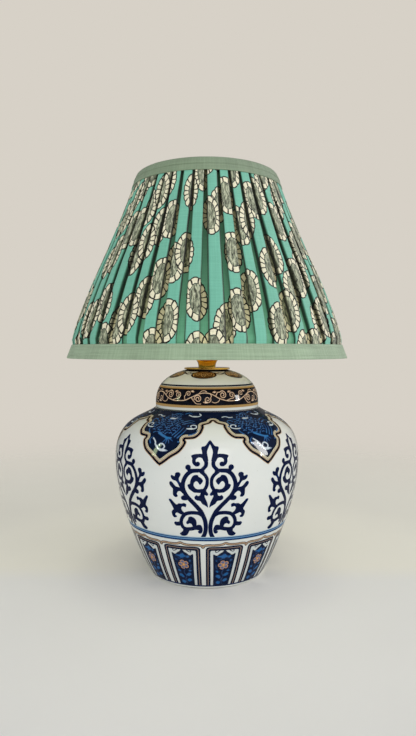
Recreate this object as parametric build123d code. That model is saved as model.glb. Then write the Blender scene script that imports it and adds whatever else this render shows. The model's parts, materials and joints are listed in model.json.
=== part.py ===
"""A ginger jar table lamp: glazed jar and lid on a clamping tube, brass lampholder, gathered cone shade.

Millimetres, +Z up, +X to the right, -Y to the front. The origin is at the middle of the foot, on the
table. The heights stack from the table upwards, so a taller jar lifts everything above it.
"""
from build123d import *

import os
from math import atan2, cos, pi, radians, sin

os.makedirs("parts", exist_ok=True)

# ---- Fits -----------------------------------------------------------------------------------------
SCREWED = 0.02         # radial gap between a thread and the hole that it screws into
LAID = 0.05            # gap between layers of the shade that are glued or sewn together
SEATED = 0.3           # gap under a piece of another moving body that rests on its seat
RUNNING = 0.05         # radial gap of the switch bar in its holes

# ---- Foot and jar ---------------------------------------------------------------------------------
FELT_T = 1.0           # felt under the foot
FELT_INSET = 2.0       # the felt stops this far inside the foot's edge
FOOT_R = 51.2          # foot ring, outside
FOOT_RING_W = 5.2      # width of the ring that stands on the felt
RECESS_H = 12.0        # depth of the hollow under the jar's floor
FLOOR_T = 6.0          # jar's floor
FLOOR_R = 52.0         # jar's floor, inside
WALL_T = 4.5           # jar's wall
FOOT_FLARE = 0.63      # outward lean of the wall at the foot
HIP_R = 68.5           # outline of the body: lower swell
HIP_Z = 38.7
BELLY_R = 82.9         # widest place
BELLY_Z = 105.0
SHOULDER_R = 66.2      # where the shoulder turns in
SHOULDER_Z = 138.2
SHOULDER_RISE = 0.7    # slope of the shoulder where it meets the ledge
LEDGE_Z = 148.0        # flat ledge that carries the lid
LEDGE_MARGIN = 0.9     # the ledge reaches this far outside the lid
NECK_R = 40.5          # neck that stands up inside the lid
NECK_T = 4.0
NECK_H = 10.0

# ---- Lid ------------------------------------------------------------------------------------------
GASKET_T = 1.0         # black rubber ring under the lid
GASKET_INSET = 0.6     # the gasket's edge is this far inside the lid's
LID_CLEAR = 1.5        # radial space between neck and lid
LID_WALL = 4.6
LID_H = 33.7
LID_RIM_H = 3.7        # upright part of the rim
LID_CROWN_R = 17.0     # flat crown under the vase cap
LID_CROWN_T = 4.0
LID_SKIRT_H = 12.0     # upright part of the inside
LID_SHOULDER_IN = 8.0  # the outline's shoulder lies this far in from the rim,
LID_SHOULDER_H = 9.8   # and this far below the crown
LID_CROWN_RISE = 0.27  # slope of the outline where it meets the crown

# ---- Clamping tube and its fastenings ---------------------------------------------------------------
TUBE_R = 5.0           # M10 x 1 threaded brass tube
TUBE_BORE_R = 3.5
TUBE_HOLE_R = 5.5      # hole for the tube in the jar's floor and in the lid
TUBE_PROUD = 1.6       # tube below the nut
NUT_FLATS = 14.0
NUT_T = 4.0
WASHER_R = 14.0
WASHER_T = 1.3
PAD_R = 16.0           # rubber washer against the porcelain
PAD_T = 1.5

# ---- Cable inlet in the back of the foot ------------------------------------------------------------
INLET_Z = 7.6
INLET_HOLE_R = 4.5
INLET_BORE_R = 3.2
INLET_LIP_R = 6.0
INLET_LIP_T = 1.2

# ---- Vase cap and lampholder ----------------------------------------------------------------------
VASE_CAP_R = 20.7
VASE_CAP_T = 1.3
VASE_CAP_EDGE = 0.5
CUP_R = 7.8            # lampholder's neck, where it stands on the vase cap
CUP_FLARE_R = 10.3
CUP_FLARE_H = 7.0
CUP_SCREW_H = 8.0      # length of the screwed hole for the tube
TUBE_SHY = 0.5         # the tube stops this far below the end of that hole
BELL_H = 16.0          # height of the bell's upright wall above the vase cap
CAP_H = 21.0           # whole cap of the lampholder
SHELL_T = 1.2          # brass wall
BARREL_R = 19.9        # lampholder's barrel
BARREL_H = 14.0
BARREL_STEP = 1.5      # inner step that carries the insulator
SPIGOT_H = 4.0         # barrel's spigot inside the cap
THREAD_R = 19.5        # outside thread for the shade rings
THREAD_H = 26.0
THREAD_T = 1.5
INSULATOR_Z = 10.0     # insulator's underside above the barrel's lower edge
INSULATOR_T = 6.0
GRUB_R = 1.5           # grub screw that locks the cap on the tube
GRUB_Z = 3.6
GRUB_SHY = 0.3
LOWER_RING_R = 24.0
LOWER_RING_T = 3.5
SOCKET_R = 14.0        # screw shell, outside
SOCKET_T = 0.4
SOCKET_H = 20.0
LINER_SHY = 0.1        # gap inside and outside the insulating liner
LEAF_R = 3.5           # centre contact
LEAF_T = 1.6
SCREW_R = 1.5          # terminal screws
SCREW_HEAD_R = 2.7
SCREW_HEAD_T = 2.0
SCREW_SHANK_H = 2.0
SCREW_OFFSET = 9.0

# ---- Switch bar -----------------------------------------------------------------------------------
BAR_R = 2.6
BAR_Z = 5.6            # above the barrel's lower edge
BAR_TRAVEL = 6.0
BAR_HEAD_R = 3.6
BAR_HEAD_T = 2.2

# ---- Shade carrier --------------------------------------------------------------------------------
FITTER_R = 21.0        # 42 mm shade fitter, inside
FITTER_W = 6.0
FITTER_T = 2.5
CLAMP_R = 27.5         # clamping ring's flange
CLAMP_FLANGE_T = 2.0
CLAMP_GRIP_R = 23.5
CLAMP_H = 6.0
ARM_R = 1.1            # fitter's arms
ARM_COUNT = 3
ARM_START_ANGLE = 90.0
STRUT_COUNT = 6
STRUT_R = 1.25
RING_WIRE_R = 1.5      # wire of the shade's two rings

# ---- Shade ----------------------------------------------------------------------------------------
FITTER_DROP = 30.1     # the fitter lies this far above the shade's lower edge
SHADE_BOTTOM_R = 125.0
SHADE_TOP_R = 63.4
SHADE_H = 161.8
TRIM_H = 11.8          # linen binding along both edges
TRIM_T = 1.0
COVER_BOTTOM_T = 2.0   # the gathers are shallow at the wide edge
COVER_TOP_T = 4.2      # and deep at the narrow one
GATHER_OUT = 3.45      # the cover bellies out this far between its bindings
GATHER_WALL = 0.5      # least thickness of the cover's shell, under a fold
GATHER_START_ANGLE = 102.0
GATHER_STEPS = (6.5, 8.0, 5.8, 6.7, 8.3, 7.5, 8.9, 7.8, 7.7, 7.3, 9.7, 8.3, 9.0, 6.2, 6.4, 5.9)
LINING_T = 0.6
ARM_SLIT = 0.4         # the lining's slits clear the arms by this much

# ---- Bulb -----------------------------------------------------------------------------------------
TIP_R = 4.6
TIP_T = 1.5
BASE_GLASS_H = 3.6     # black glass between the tip and the screw cap
BASE_GLASS_R = 11.0
BULB_CAP_R = 13.1
BULB_CAP_H = 18.0
BULB_CAP_T = 0.9
BULB_THREADS = 4
BULB_THREAD_DEPTH = 0.45
BULB_THREAD_PITCH = 3.62
BULB_R = 17.5          # candle bulb
BULB_BELLY_H = 35.0
BULB_GLASS_H = 76.0
BULB_NECK_R = 12.6
BULB_GLASS_T = 0.8
BULB_NECK_LEAN = 0.2   # outward lean of the glass at its neck
BULB_TIP_RISE = 0.5    # slope of the glass at its tip
STEM_FOOT_T = 1.2
STEM_R = 2.6
STEM_H = 18.0
PLATE_R = 7.2
PLATE_T = 0.8
FILAMENT_COUNT = 4
FILAMENT_R = 0.9
FILAMENT_RING_R = 5.4
FILAMENT_H = 38.0

# ---- Heights that follow from the sizes above -------------------------------------------------------
RECESS_Z = FELT_T + RECESS_H
FLOOR_Z = RECESS_Z + FLOOR_T
LID_Z = LEDGE_Z + GASKET_T
CROWN_Z = LID_Z + LID_H
HOLDER_Z = CROWN_Z + VASE_CAP_T
BARREL_Z = HOLDER_Z + CAP_H
THREAD_Z = BARREL_Z + BARREL_H
STEP_Z = BARREL_Z + INSULATOR_Z
SOCKET_Z = STEP_Z + INSULATOR_T
HOLDER_TOP_Z = THREAD_Z + THREAD_H
SEAT_Z = THREAD_Z + LOWER_RING_T
FITTER_Z = SEAT_Z + SEATED
CLAMP_Z = FITTER_Z + FITTER_T + SEATED
SHADE_Z = FITTER_Z - FITTER_DROP
SHADE_TOP_Z = SHADE_Z + SHADE_H
TIP_Z = SOCKET_Z + LEAF_T + SEATED
BULB_CAP_Z = TIP_Z + TIP_T + BASE_GLASS_H
GLASS_Z = BULB_CAP_Z + BULB_CAP_H
LID_R = NECK_R + LID_CLEAR + LID_WALL
LEDGE_R = LID_R + LEDGE_MARGIN

# ---- Layers of the shade, as depths square to its outer face ----------------------------------------
SLOPE = atan2(SHADE_BOTTOM_R - SHADE_TOP_R, SHADE_H)
COVER_DEPTH = TRIM_T + LAID
FRAME_TO_LINING = 2 * RING_WIRE_R + 2 * LAID


def turned(*outline):
    """A solid turned about the lamp's axis from the edges of a closed outline."""
    return revolve(make_face(list(outline)), Axis.Z)


def at(radius, height):
    """A point of a turned outline."""
    return Vector(radius, 0, height)


def path(*points):
    """Straight edges through (radius, height) points."""
    return Polyline(*[at(r, z) for r, z in points])


def closed(*points):
    """A solid turned from straight edges alone."""
    return turned(path(*points, points[0]))


def ring(inner, outer, z, height):
    """A flat ring or, with inner 0, a disc."""
    body = Pos(0, 0, z) * Cylinder(outer, height, align=(Align.CENTER, Align.CENTER, Align.MIN))
    if inner > 0:
        body -= Pos(0, 0, z) * Cylinder(inner, height, align=(Align.CENTER, Align.CENTER, Align.MIN))
    return body


def rod(start, end, radius):
    """A round bar from one point to another."""
    run = Vector(*end) - Vector(*start)
    place = Plane(origin=start, z_dir=run)
    return extrude(place * Circle(radius), run.length)


# ---- Foot and jar ---------------------------------------------------------------------------------
def outer_line(swell=0.0):
    """The jar's outside from its foot to the ledge, moved outwards by swell."""
    lower = Spline(at(FOOT_R + swell, FELT_T), at(HIP_R + swell, HIP_Z), at(BELLY_R + swell, BELLY_Z),
                   tangents=[Vector(FOOT_FLARE, 0, 1), Vector(0, 0, 1)])
    upper = Spline(at(BELLY_R + swell, BELLY_Z), at(SHOULDER_R + swell, SHOULDER_Z),
                   at(LEDGE_R + swell, LEDGE_Z), tangents=[Vector(0, 0, 1), Vector(-1, 0, SHOULDER_RISE)])
    return lower, upper


def foot_felt():
    return ring(0, FOOT_R - FELT_INSET, 0, FELT_T)


def jar():
    lower, upper = outer_line()
    neck = path((LEDGE_R, LEDGE_Z), (NECK_R, LEDGE_Z), (NECK_R, LEDGE_Z + NECK_H),
                (NECK_R - NECK_T, LEDGE_Z + NECK_H), (NECK_R - NECK_T, LEDGE_Z - WALL_T))
    upper_in = Spline(at(NECK_R - NECK_T, LEDGE_Z - WALL_T), at(SHOULDER_R - WALL_T, SHOULDER_Z - WALL_T),
                      at(BELLY_R - WALL_T, BELLY_Z), tangents=[Vector(1, 0, -0.1), Vector(0, 0, -1)])
    lower_in = Spline(at(BELLY_R - WALL_T, BELLY_Z), at(HIP_R - WALL_T, HIP_Z), at(FLOOR_R, FLOOR_Z),
                      tangents=[Vector(0, 0, -1), Vector(-0.5, 0, -1)])
    floor = path((FLOOR_R, FLOOR_Z), (TUBE_HOLE_R, FLOOR_Z), (TUBE_HOLE_R, RECESS_Z),
                 (FOOT_R - FOOT_RING_W, RECESS_Z), (FOOT_R - FOOT_RING_W, FELT_T), (FOOT_R, FELT_T))
    inlet = rod((0, FOOT_R - 2 * FOOT_RING_W, INLET_Z), (0, BELLY_R, INLET_Z), INLET_HOLE_R)
    return turned(lower, upper, neck, upper_in, lower_in, floor) - inlet


def foot_side(swell):
    """The space inside the jar's outside, moved outwards by swell, below the belly."""
    lower = outer_line(swell)[0]
    base = path((BELLY_R + swell, BELLY_Z), (0, BELLY_Z), (0, FELT_T), (FOOT_R + swell, FELT_T))
    return turned(lower, base)


def cable_grommet():
    """A rubber bush with a lip inside and outside the foot ring."""
    lip = rod((0, FOOT_R - 2 * FOOT_RING_W, INLET_Z), (0, BELLY_R, INLET_Z), INLET_LIP_R)
    bush = rod((0, FOOT_R - 2 * FOOT_RING_W, INLET_Z), (0, BELLY_R, INLET_Z), INLET_HOLE_R - SCREWED)
    inside_r = FOOT_R - FOOT_RING_W
    outside = lip & (foot_side(INLET_LIP_T) - foot_side(LAID))
    inside = lip & ring(inside_r - INLET_LIP_T, inside_r - LAID, FELT_T + LAID, RECESS_H - 2 * LAID)
    bush &= foot_side(INLET_LIP_T) - ring(0, inside_r - INLET_LIP_T, FELT_T, RECESS_H)
    bore = rod((0, 0, INLET_Z), (0, BELLY_R, INLET_Z), INLET_BORE_R)
    return outside + inside + bush - bore


# ---- Clamping tube and its fastenings ---------------------------------------------------------------
PAD_Z = RECESS_Z - PAD_T
WASHER_Z = PAD_Z - WASHER_T
NUT_Z = WASHER_Z - NUT_T


def stem_tube():
    bottom = NUT_Z - TUBE_PROUD
    return ring(TUBE_BORE_R, TUBE_R, bottom, HOLDER_Z + CUP_SCREW_H - TUBE_SHY - bottom)


def tube_nut():
    hexagon = RegularPolygon(NUT_FLATS / 2, 6, major_radius=False)
    return extrude(Pos(0, 0, NUT_Z) * (hexagon - Circle(TUBE_R + SCREWED)), NUT_T)


def steel_washer():
    return ring(TUBE_R + SCREWED, WASHER_R, WASHER_Z, WASHER_T)


def rubber_washer():
    return ring(TUBE_R + SCREWED, PAD_R, PAD_Z, PAD_T)


# ---- Lid ------------------------------------------------------------------------------------------
def lid_gasket():
    return ring(NECK_R + SCREWED, LID_R - GASKET_INSET, LEDGE_Z, GASKET_T)


def lid():
    rim_top = LID_Z + LID_RIM_H
    dome = Spline(at(LID_R, rim_top), at(LID_R - LID_SHOULDER_IN, CROWN_Z - LID_SHOULDER_H),
                  at(LID_CROWN_R, CROWN_Z), tangents=[Vector(0, 0, 1), Vector(-1, 0, LID_CROWN_RISE)])
    inside_r = NECK_R + LID_CLEAR
    skirt_top = LID_Z + LID_SKIRT_H
    under = CROWN_Z - LID_CROWN_T
    vault = Bezier(at(inside_r, skirt_top), at(inside_r, under - LID_WALL), at(2 * LID_CROWN_R - TUBE_HOLE_R, under),
                   at(LID_CROWN_R - TUBE_HOLE_R / 2, under))
    crown = path((LID_CROWN_R, CROWN_Z), (TUBE_HOLE_R, CROWN_Z), (TUBE_HOLE_R, under),
                 (LID_CROWN_R - TUBE_HOLE_R / 2, under))
    rim = path((inside_r, skirt_top), (inside_r, LID_Z), (LID_R, LID_Z), (LID_R, rim_top))
    return turned(dome, crown, vault, rim)


# ---- Vase cap and lampholder ----------------------------------------------------------------------
def vase_cap():
    top = CROWN_Z + VASE_CAP_T
    return closed((TUBE_R + SCREWED, CROWN_Z), (VASE_CAP_R, CROWN_Z), (VASE_CAP_R, top - VASE_CAP_EDGE),
                  (VASE_CAP_R - VASE_CAP_EDGE, top), (TUBE_R + SCREWED, top))


def holder_cap():
    """The visible brass cup, which flares into the bell that carries the barrel."""
    flare_z = HOLDER_Z + CUP_FLARE_H
    bell_z = HOLDER_Z + BELL_H
    screw_z = HOLDER_Z + CUP_SCREW_H
    bell_in = BARREL_R - SHELL_T
    outside = Spline(at(CUP_R, HOLDER_Z), at(CUP_FLARE_R, flare_z), at(BARREL_R, bell_z),
                     tangents=[Vector(0, 0, 1), Vector(0, 0, 1)])
    rim = path((BARREL_R, bell_z), (BARREL_R, BARREL_Z), (bell_in, BARREL_Z), (bell_in, bell_z))
    inside = Spline(at(bell_in, bell_z), at(CUP_FLARE_R - SHELL_T, screw_z),
                    tangents=[Vector(0, 0, -1), Vector(-0.6, 0, -0.8)])
    bore = path((CUP_FLARE_R - SHELL_T, screw_z), (TUBE_R + SCREWED, screw_z),
                (TUBE_R + SCREWED, HOLDER_Z), (CUP_R, HOLDER_Z))
    grub_hole = rod((0, 0, HOLDER_Z + GRUB_Z), (0, BARREL_R, HOLDER_Z + GRUB_Z), GRUB_R + SCREWED)
    return turned(outside, rim, inside, bore) - grub_hole


def cap_grub_screw():
    z = HOLDER_Z + GRUB_Z
    return rod((0, TUBE_R + SCREWED, z), (0, CUP_R - GRUB_SHY, z), GRUB_R)


def holder_body():
    """Barrel, with a spigot in the cap below it and the thread for the shade rings above."""
    spigot_r = BARREL_R - SHELL_T - SCREWED
    wide = THREAD_R - THREAD_T
    narrow = wide - BARREL_STEP
    barrel = closed((spigot_r, BARREL_Z - SPIGOT_H), (spigot_r, BARREL_Z), (BARREL_R, BARREL_Z),
                    (BARREL_R, THREAD_Z), (THREAD_R, THREAD_Z), (THREAD_R, HOLDER_TOP_Z), (wide, HOLDER_TOP_Z),
                    (wide, STEP_Z), (narrow, STEP_Z), (narrow, BARREL_Z - SPIGOT_H))
    bar_z = BARREL_Z + BAR_Z
    return barrel - rod((-2 * BARREL_R, 0, bar_z), (2 * BARREL_R, 0, bar_z), BAR_R + RUNNING)


def lower_ring():
    return ring(THREAD_R + RUNNING, LOWER_RING_R, THREAD_Z, LOWER_RING_T)


def holder_insulator():
    return ring(0, THREAD_R - THREAD_T - SCREWED, STEP_Z, INSULATOR_T)


def screw_shell():
    return ring(SOCKET_R - SOCKET_T, SOCKET_R, SOCKET_Z, SOCKET_H)


def holder_liner():
    """Insulating sleeve between the screw shell and the brass."""
    inner = SOCKET_R + LINER_SHY
    return ring(inner, THREAD_R - THREAD_T - LINER_SHY, SOCKET_Z, HOLDER_TOP_Z - SOCKET_Z)


def centre_contact():
    return ring(0, LEAF_R, SOCKET_Z, LEAF_T)


def terminal_screws():
    screws = []
    for side in (-1, 1):
        shank = ring(0, SCREW_R, STEP_Z - SCREW_SHANK_H, SCREW_SHANK_H)
        head = ring(0, SCREW_HEAD_R, STEP_Z - SCREW_SHANK_H - SCREW_HEAD_T, SCREW_HEAD_T)
        screws.append(Pos(0, side * SCREW_OFFSET, 0) * (shank + head))
    return Compound(children=screws)


# ---- Switch bar -----------------------------------------------------------------------------------
def switch_bar():
    """A push bar, pressed to the left at rest: its right head stands out by the travel."""
    z = BARREL_Z + BAR_Z
    left = -(BARREL_R + SEATED)
    right = BARREL_R + SEATED + BAR_TRAVEL
    bar = rod((left, 0, z), (right, 0, z), BAR_R)
    bar += rod((left - BAR_HEAD_T, 0, z), (left, 0, z), BAR_HEAD_R)
    bar += rod((right, 0, z), (right + BAR_HEAD_T, 0, z), BAR_HEAD_R)
    return bar


# ---- Shade carrier --------------------------------------------------------------------------------
def clamp_ring():
    inner = THREAD_R + RUNNING
    return closed((inner, CLAMP_Z), (CLAMP_R, CLAMP_Z), (CLAMP_R, CLAMP_Z + CLAMP_FLANGE_T),
                  (CLAMP_GRIP_R, CLAMP_Z + CLAMP_FLANGE_T), (CLAMP_GRIP_R, CLAMP_Z + CLAMP_H),
                  (inner, CLAMP_Z + CLAMP_H))


def fitter_ring():
    return ring(FITTER_R, FITTER_R + FITTER_W, FITTER_Z, FITTER_T)


def shade_r(z, depth=0.0):
    """Radius of the shade at a height, at a depth square to its outer face."""
    share = (z - SHADE_Z) / SHADE_H
    return SHADE_BOTTOM_R + (SHADE_TOP_R - SHADE_BOTTOM_R) * share - depth / cos(SLOPE)


def cover_t(z):
    """Thickness of the gathered cover at a height."""
    return COVER_BOTTOM_T + (COVER_TOP_T - COVER_BOTTOM_T) * (z - SHADE_Z) / SHADE_H


def wire_depth(z):
    """Depth of the frame's wires, which lie between the cover and the lining."""
    return COVER_DEPTH + cover_t(z) + LAID + RING_WIRE_R


def lining_depth(z):
    return COVER_DEPTH + cover_t(z) + FRAME_TO_LINING


RING_EDGE = TRIM_T + LAID + RING_WIRE_R
BOTTOM_WIRE_Z = SHADE_Z + RING_EDGE
TOP_WIRE_Z = SHADE_TOP_Z - RING_EDGE


def wire_point(z, angle):
    radius = shade_r(z, wire_depth(z))
    return (radius * cos(radians(angle)), radius * sin(radians(angle)), z)


def wire_ring(z):
    return Pos(0, 0, z) * Torus(shade_r(z, wire_depth(z)), RING_WIRE_R)


def bottom_ring():
    return wire_ring(BOTTOM_WIRE_Z)


def top_ring():
    return wire_ring(TOP_WIRE_Z)


def strut(angle):
    """One slanting wire, cut to meet both rings."""
    wire = rod(wire_point(BOTTOM_WIRE_Z, angle), wire_point(TOP_WIRE_Z, angle), STRUT_R)
    return wire - bottom_ring() - top_ring()


def strut_angle(index):
    return ARM_START_ANGLE + index * 360 / STRUT_COUNT


def struts():
    return Compound(children=[strut(strut_angle(i)) for i in range(STRUT_COUNT)])


def arm_rod(index, radius):
    """A bar from inside the fitter ring to the middle of a strut."""
    z = FITTER_Z + FITTER_T / 2
    angle = strut_angle(index * STRUT_COUNT // ARM_COUNT)
    start = FITTER_R + FITTER_W / 2
    return rod((start * cos(radians(angle)), start * sin(radians(angle)), z), wire_point(z, angle), radius)


def fitter_arms():
    """Arms welded to the fitter ring and to every second strut."""
    arms = []
    for i in range(ARM_COUNT):
        joined_strut = strut(strut_angle(i * STRUT_COUNT // ARM_COUNT))
        arms.append(arm_rod(i, ARM_R) - fitter_ring() - joined_strut)
    return Compound(children=arms)


# ---- Shade ----------------------------------------------------------------------------------------
def layer(bottom, top, outer_depth, inner_depth):
    """A cone-shaped layer of the shade between two heights. The depths are functions of height."""
    return closed((shade_r(bottom, outer_depth(bottom)), bottom), (shade_r(top, outer_depth(top)), top),
                  (shade_r(top, inner_depth(top)), top), (shade_r(bottom, inner_depth(bottom)), bottom))


LAYER_BOTTOM = SHADE_Z + TRIM_T + LAID
LAYER_TOP = SHADE_TOP_Z - TRIM_T - LAID


# Rows of the gathers: share of the height between the bindings, share of GATHER_OUT, widths of crest
# and fold as shares of a gather, and the shell's thickness under a fold as a multiple of GATHER_WALL.
GATHER_ROWS = ((0.0, 0.22, 0.57, 0.35, 1.4), (0.13, 1.0, 0.60, 0.32, 3.4),
               (0.42, 0.95, 0.66, 0.26, 3.0), (1.0, 0.10, 0.77, 0.17, 1.0))
GATHERS_BOTTOM = SHADE_Z + TRIM_H + LAID
GATHERS_TOP = SHADE_TOP_Z - TRIM_H - LAID


def cover_inner(z):
    return COVER_DEPTH + cover_t(z)


def gathers_row(height, out, crest, fold, wall):
    """A wire round the shade along its gathers, a flat crest and a flat fold to each."""
    z = GATHERS_BOTTOM + (GATHERS_TOP - GATHERS_BOTTOM) * height
    crest_depth = COVER_DEPTH - GATHER_OUT * out
    fold_depth = cover_inner(z) - GATHER_WALL * wall
    corners, start = [], GATHER_START_ANGLE
    for step in GATHER_STEPS * 3:
        for share, depth in ((-crest / 2, crest_depth), (crest / 2, crest_depth),
                             (0.5 - fold / 2, fold_depth), (0.5 + fold / 2, fold_depth)):
            angle, radius = radians(start + share * step), shade_r(z, depth)
            corners.append(Vector(radius * cos(angle), radius * sin(angle), z))
        start += step
    return Wire.make_polygon(corners, close=True)


def shade_cover():
    """The gathered cloth as one shell: its main gathers between the bindings, and plain edges in them."""
    gathers = Solid.make_loft([gathers_row(*row) for row in GATHER_ROWS], ruled=True)
    gathers -= closed((0, GATHERS_BOTTOM), (shade_r(GATHERS_BOTTOM, cover_inner(GATHERS_BOTTOM)), GATHERS_BOTTOM),
                      (shade_r(GATHERS_TOP, cover_inner(GATHERS_TOP)), GATHERS_TOP), (0, GATHERS_TOP))
    lower_edge = layer(LAYER_BOTTOM, GATHERS_BOTTOM, lambda z: COVER_DEPTH, cover_inner)
    upper_edge = layer(GATHERS_TOP, LAYER_TOP, lambda z: COVER_DEPTH, cover_inner)
    return gathers + lower_edge + upper_edge


def shade_lining():
    lining = layer(LAYER_BOTTOM, LAYER_TOP, lining_depth, lambda z: lining_depth(z) + LINING_T)
    for i in range(ARM_COUNT):
        lining -= arm_rod(i, ARM_R + ARM_SLIT)
    return lining


def channel_depth(z):
    """Depth of the inner wall of the bindings' channel."""
    return lining_depth(z) + LINING_T + LAID


def trim(bottom, top, fold_bottom, fold_top):
    """A binding folded over one edge of the shade: a U around the layers, which lie in its channel."""
    whole = layer(bottom, top, lambda z: 0.0, lambda z: channel_depth(z) + TRIM_T)
    return whole - layer(bottom + fold_bottom, top - fold_top, lambda z: TRIM_T, channel_depth)


def bottom_trim():
    return trim(SHADE_Z, SHADE_Z + TRIM_H, TRIM_T, 0.0)


def top_trim():
    return trim(SHADE_TOP_Z - TRIM_H, SHADE_TOP_Z, 0.0, TRIM_T)


# ---- Bulb -----------------------------------------------------------------------------------------
def bulb_contact():
    return ring(0, TIP_R, TIP_Z, TIP_T)


def bulb_insulator():
    z = TIP_Z + TIP_T
    return closed((0, z), (TIP_R, z), (BASE_GLASS_R, z + BASE_GLASS_H), (0, z + BASE_GLASS_H))


def bulb_cap():
    """Screw cap, with its thread as rounded rings."""
    shell = ring(BULB_CAP_R - BULB_CAP_T, BULB_CAP_R - BULB_THREAD_DEPTH, BULB_CAP_Z, BULB_CAP_H)
    shell += ring(BASE_GLASS_R - BULB_CAP_T, BULB_CAP_R - BULB_THREAD_DEPTH, BULB_CAP_Z, BULB_CAP_T)
    for turn in range(BULB_THREADS):
        z = BULB_CAP_Z + BULB_THREAD_PITCH * (turn + 0.6)
        shell += Pos(0, 0, z) * Torus(BULB_CAP_R - 2 * BULB_THREAD_DEPTH, 2 * BULB_THREAD_DEPTH)
    return shell


def glass_line(inset):
    """The candle bulb's outline from its neck to its tip."""
    neck = at(BULB_NECK_R - inset, GLASS_Z)
    belly = at(BULB_R - inset, GLASS_Z + BULB_BELLY_H)
    tip = at(0, GLASS_Z + BULB_GLASS_H - inset)
    lower = Spline(neck, belly, tangents=[Vector(BULB_NECK_LEAN, 0, 1), Vector(0, 0, 1)])
    upper = Spline(belly, tip, tangents=[Vector(0, 0, 1), Vector(-1, 0, BULB_TIP_RISE)])
    return lower, upper


def bulb_glass():
    neck = path((BULB_NECK_R - BULB_GLASS_T, GLASS_Z), (BULB_NECK_R, GLASS_Z))
    tip = path((0, GLASS_Z + BULB_GLASS_H - BULB_GLASS_T), (0, GLASS_Z + BULB_GLASS_H))
    return turned(neck, *glass_line(0), tip, *glass_line(BULB_GLASS_T))


def bulb_stem():
    foot = ring(0, BULB_NECK_R - BULB_GLASS_T - SCREWED, GLASS_Z, STEM_FOOT_T)
    return foot + ring(0, STEM_R, GLASS_Z, STEM_H)


PLATE_Z = GLASS_Z + STEM_H
FILAMENT_Z = PLATE_Z + PLATE_T


def bulb_supports():
    plates = [ring(0, PLATE_R, z, PLATE_T) for z in (PLATE_Z, FILAMENT_Z + FILAMENT_H)]
    return Compound(children=plates)


def bulb_filaments():
    rods = []
    for i in range(FILAMENT_COUNT):
        angle = 2 * pi * (i + 0.5) / FILAMENT_COUNT
        place = Pos(FILAMENT_RING_R * cos(angle), FILAMENT_RING_R * sin(angle), 0)
        rods.append(place * ring(0, FILAMENT_R, FILAMENT_Z, FILAMENT_H))
    return Compound(children=rods)


PIECES = (foot_felt, jar, cable_grommet, stem_tube, tube_nut, steel_washer, rubber_washer, lid_gasket, lid,
          vase_cap, holder_cap, cap_grub_screw, holder_body, lower_ring, holder_insulator, screw_shell,
          holder_liner, centre_contact, terminal_screws, switch_bar, clamp_ring, fitter_ring, fitter_arms,
          bottom_ring, top_ring, struts, shade_cover, shade_lining, bottom_trim, top_trim, bulb_contact,
          bulb_insulator, bulb_cap, bulb_glass, bulb_stem, bulb_supports, bulb_filaments)

for piece in PIECES:
    export_step(piece(), f"parts/{piece.__name__}.step")
    print(piece.__name__)
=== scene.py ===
# %% [markdown]
# # A ginger jar table lamp
# The lamp is a glazed porcelain jar with its lid, a brass lampholder, and a cone shade of gathered
# block-printed cotton. The construction comes as a fixed frame of solids, so this lesson is about looks:
# glaze, painted ornament, gilding, brass, cloth. Where the pieces are and how large they are is read from
# the frame; only the ornament has places of its own.

# %% Load the frame
import json
from collections import Counter
from math import cos, degrees, hypot, pi, radians, sin

import bpy
import numpy as np
from mathutils import Matrix, Vector
from mathutils.geometry import delaunay_2d_cdt
from mathutils.kdtree import KDTree
from mathutils.noise import noise


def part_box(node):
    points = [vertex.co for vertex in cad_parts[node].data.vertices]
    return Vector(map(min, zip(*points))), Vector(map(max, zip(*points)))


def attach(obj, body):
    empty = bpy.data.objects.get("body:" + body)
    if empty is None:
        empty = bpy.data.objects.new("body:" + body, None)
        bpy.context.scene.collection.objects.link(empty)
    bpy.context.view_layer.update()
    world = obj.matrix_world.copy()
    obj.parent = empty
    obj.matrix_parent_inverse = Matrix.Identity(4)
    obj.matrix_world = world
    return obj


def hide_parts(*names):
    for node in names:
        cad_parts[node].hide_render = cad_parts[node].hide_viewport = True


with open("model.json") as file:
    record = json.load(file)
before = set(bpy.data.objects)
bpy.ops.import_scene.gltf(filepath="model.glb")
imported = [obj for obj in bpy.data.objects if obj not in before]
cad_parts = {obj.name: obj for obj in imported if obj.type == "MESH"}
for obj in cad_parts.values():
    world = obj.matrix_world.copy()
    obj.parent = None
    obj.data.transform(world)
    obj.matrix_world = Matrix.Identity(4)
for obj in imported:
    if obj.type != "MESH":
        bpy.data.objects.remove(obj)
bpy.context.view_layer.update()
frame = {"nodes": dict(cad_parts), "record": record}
nodes = frame["nodes"]
MM = 0.001

# %% [markdown]
# ## Camera
# The camera stands about half a metre in front of the lamp, just above the shade's lower edge, and looks
# slightly down. Its lens was fitted to the lamp's outline. The frame is upright, 416 by 736 pixels.

# %% Camera
CAMERA_PLACE = (0.9 * MM, -535.7 * MM, 199.6 * MM)
CAMERA_DIP = radians(1.726)
CAMERA_LENS = 28.673

camera_data = bpy.data.cameras.new("camera")
camera_data.lens = CAMERA_LENS
camera = bpy.data.objects.new("camera", camera_data)
camera.location = CAMERA_PLACE
camera.rotation_euler = (pi / 2 - CAMERA_DIP, 0, 0)
bpy.context.scene.collection.objects.link(camera)
bpy.context.scene.camera = camera
bpy.context.scene.view_settings.view_transform = "Standard"
print("camera", [round(value, 4) for value in camera.location])

# %% [markdown]
# ## A short way to wire nodes
# Materials, the world and Geometry Nodes are all node trees. Adding and linking each node by hand takes
# three lines, so this helper adds one and feeds its inputs in one call: an input is either a value or
# another node's output.

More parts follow.
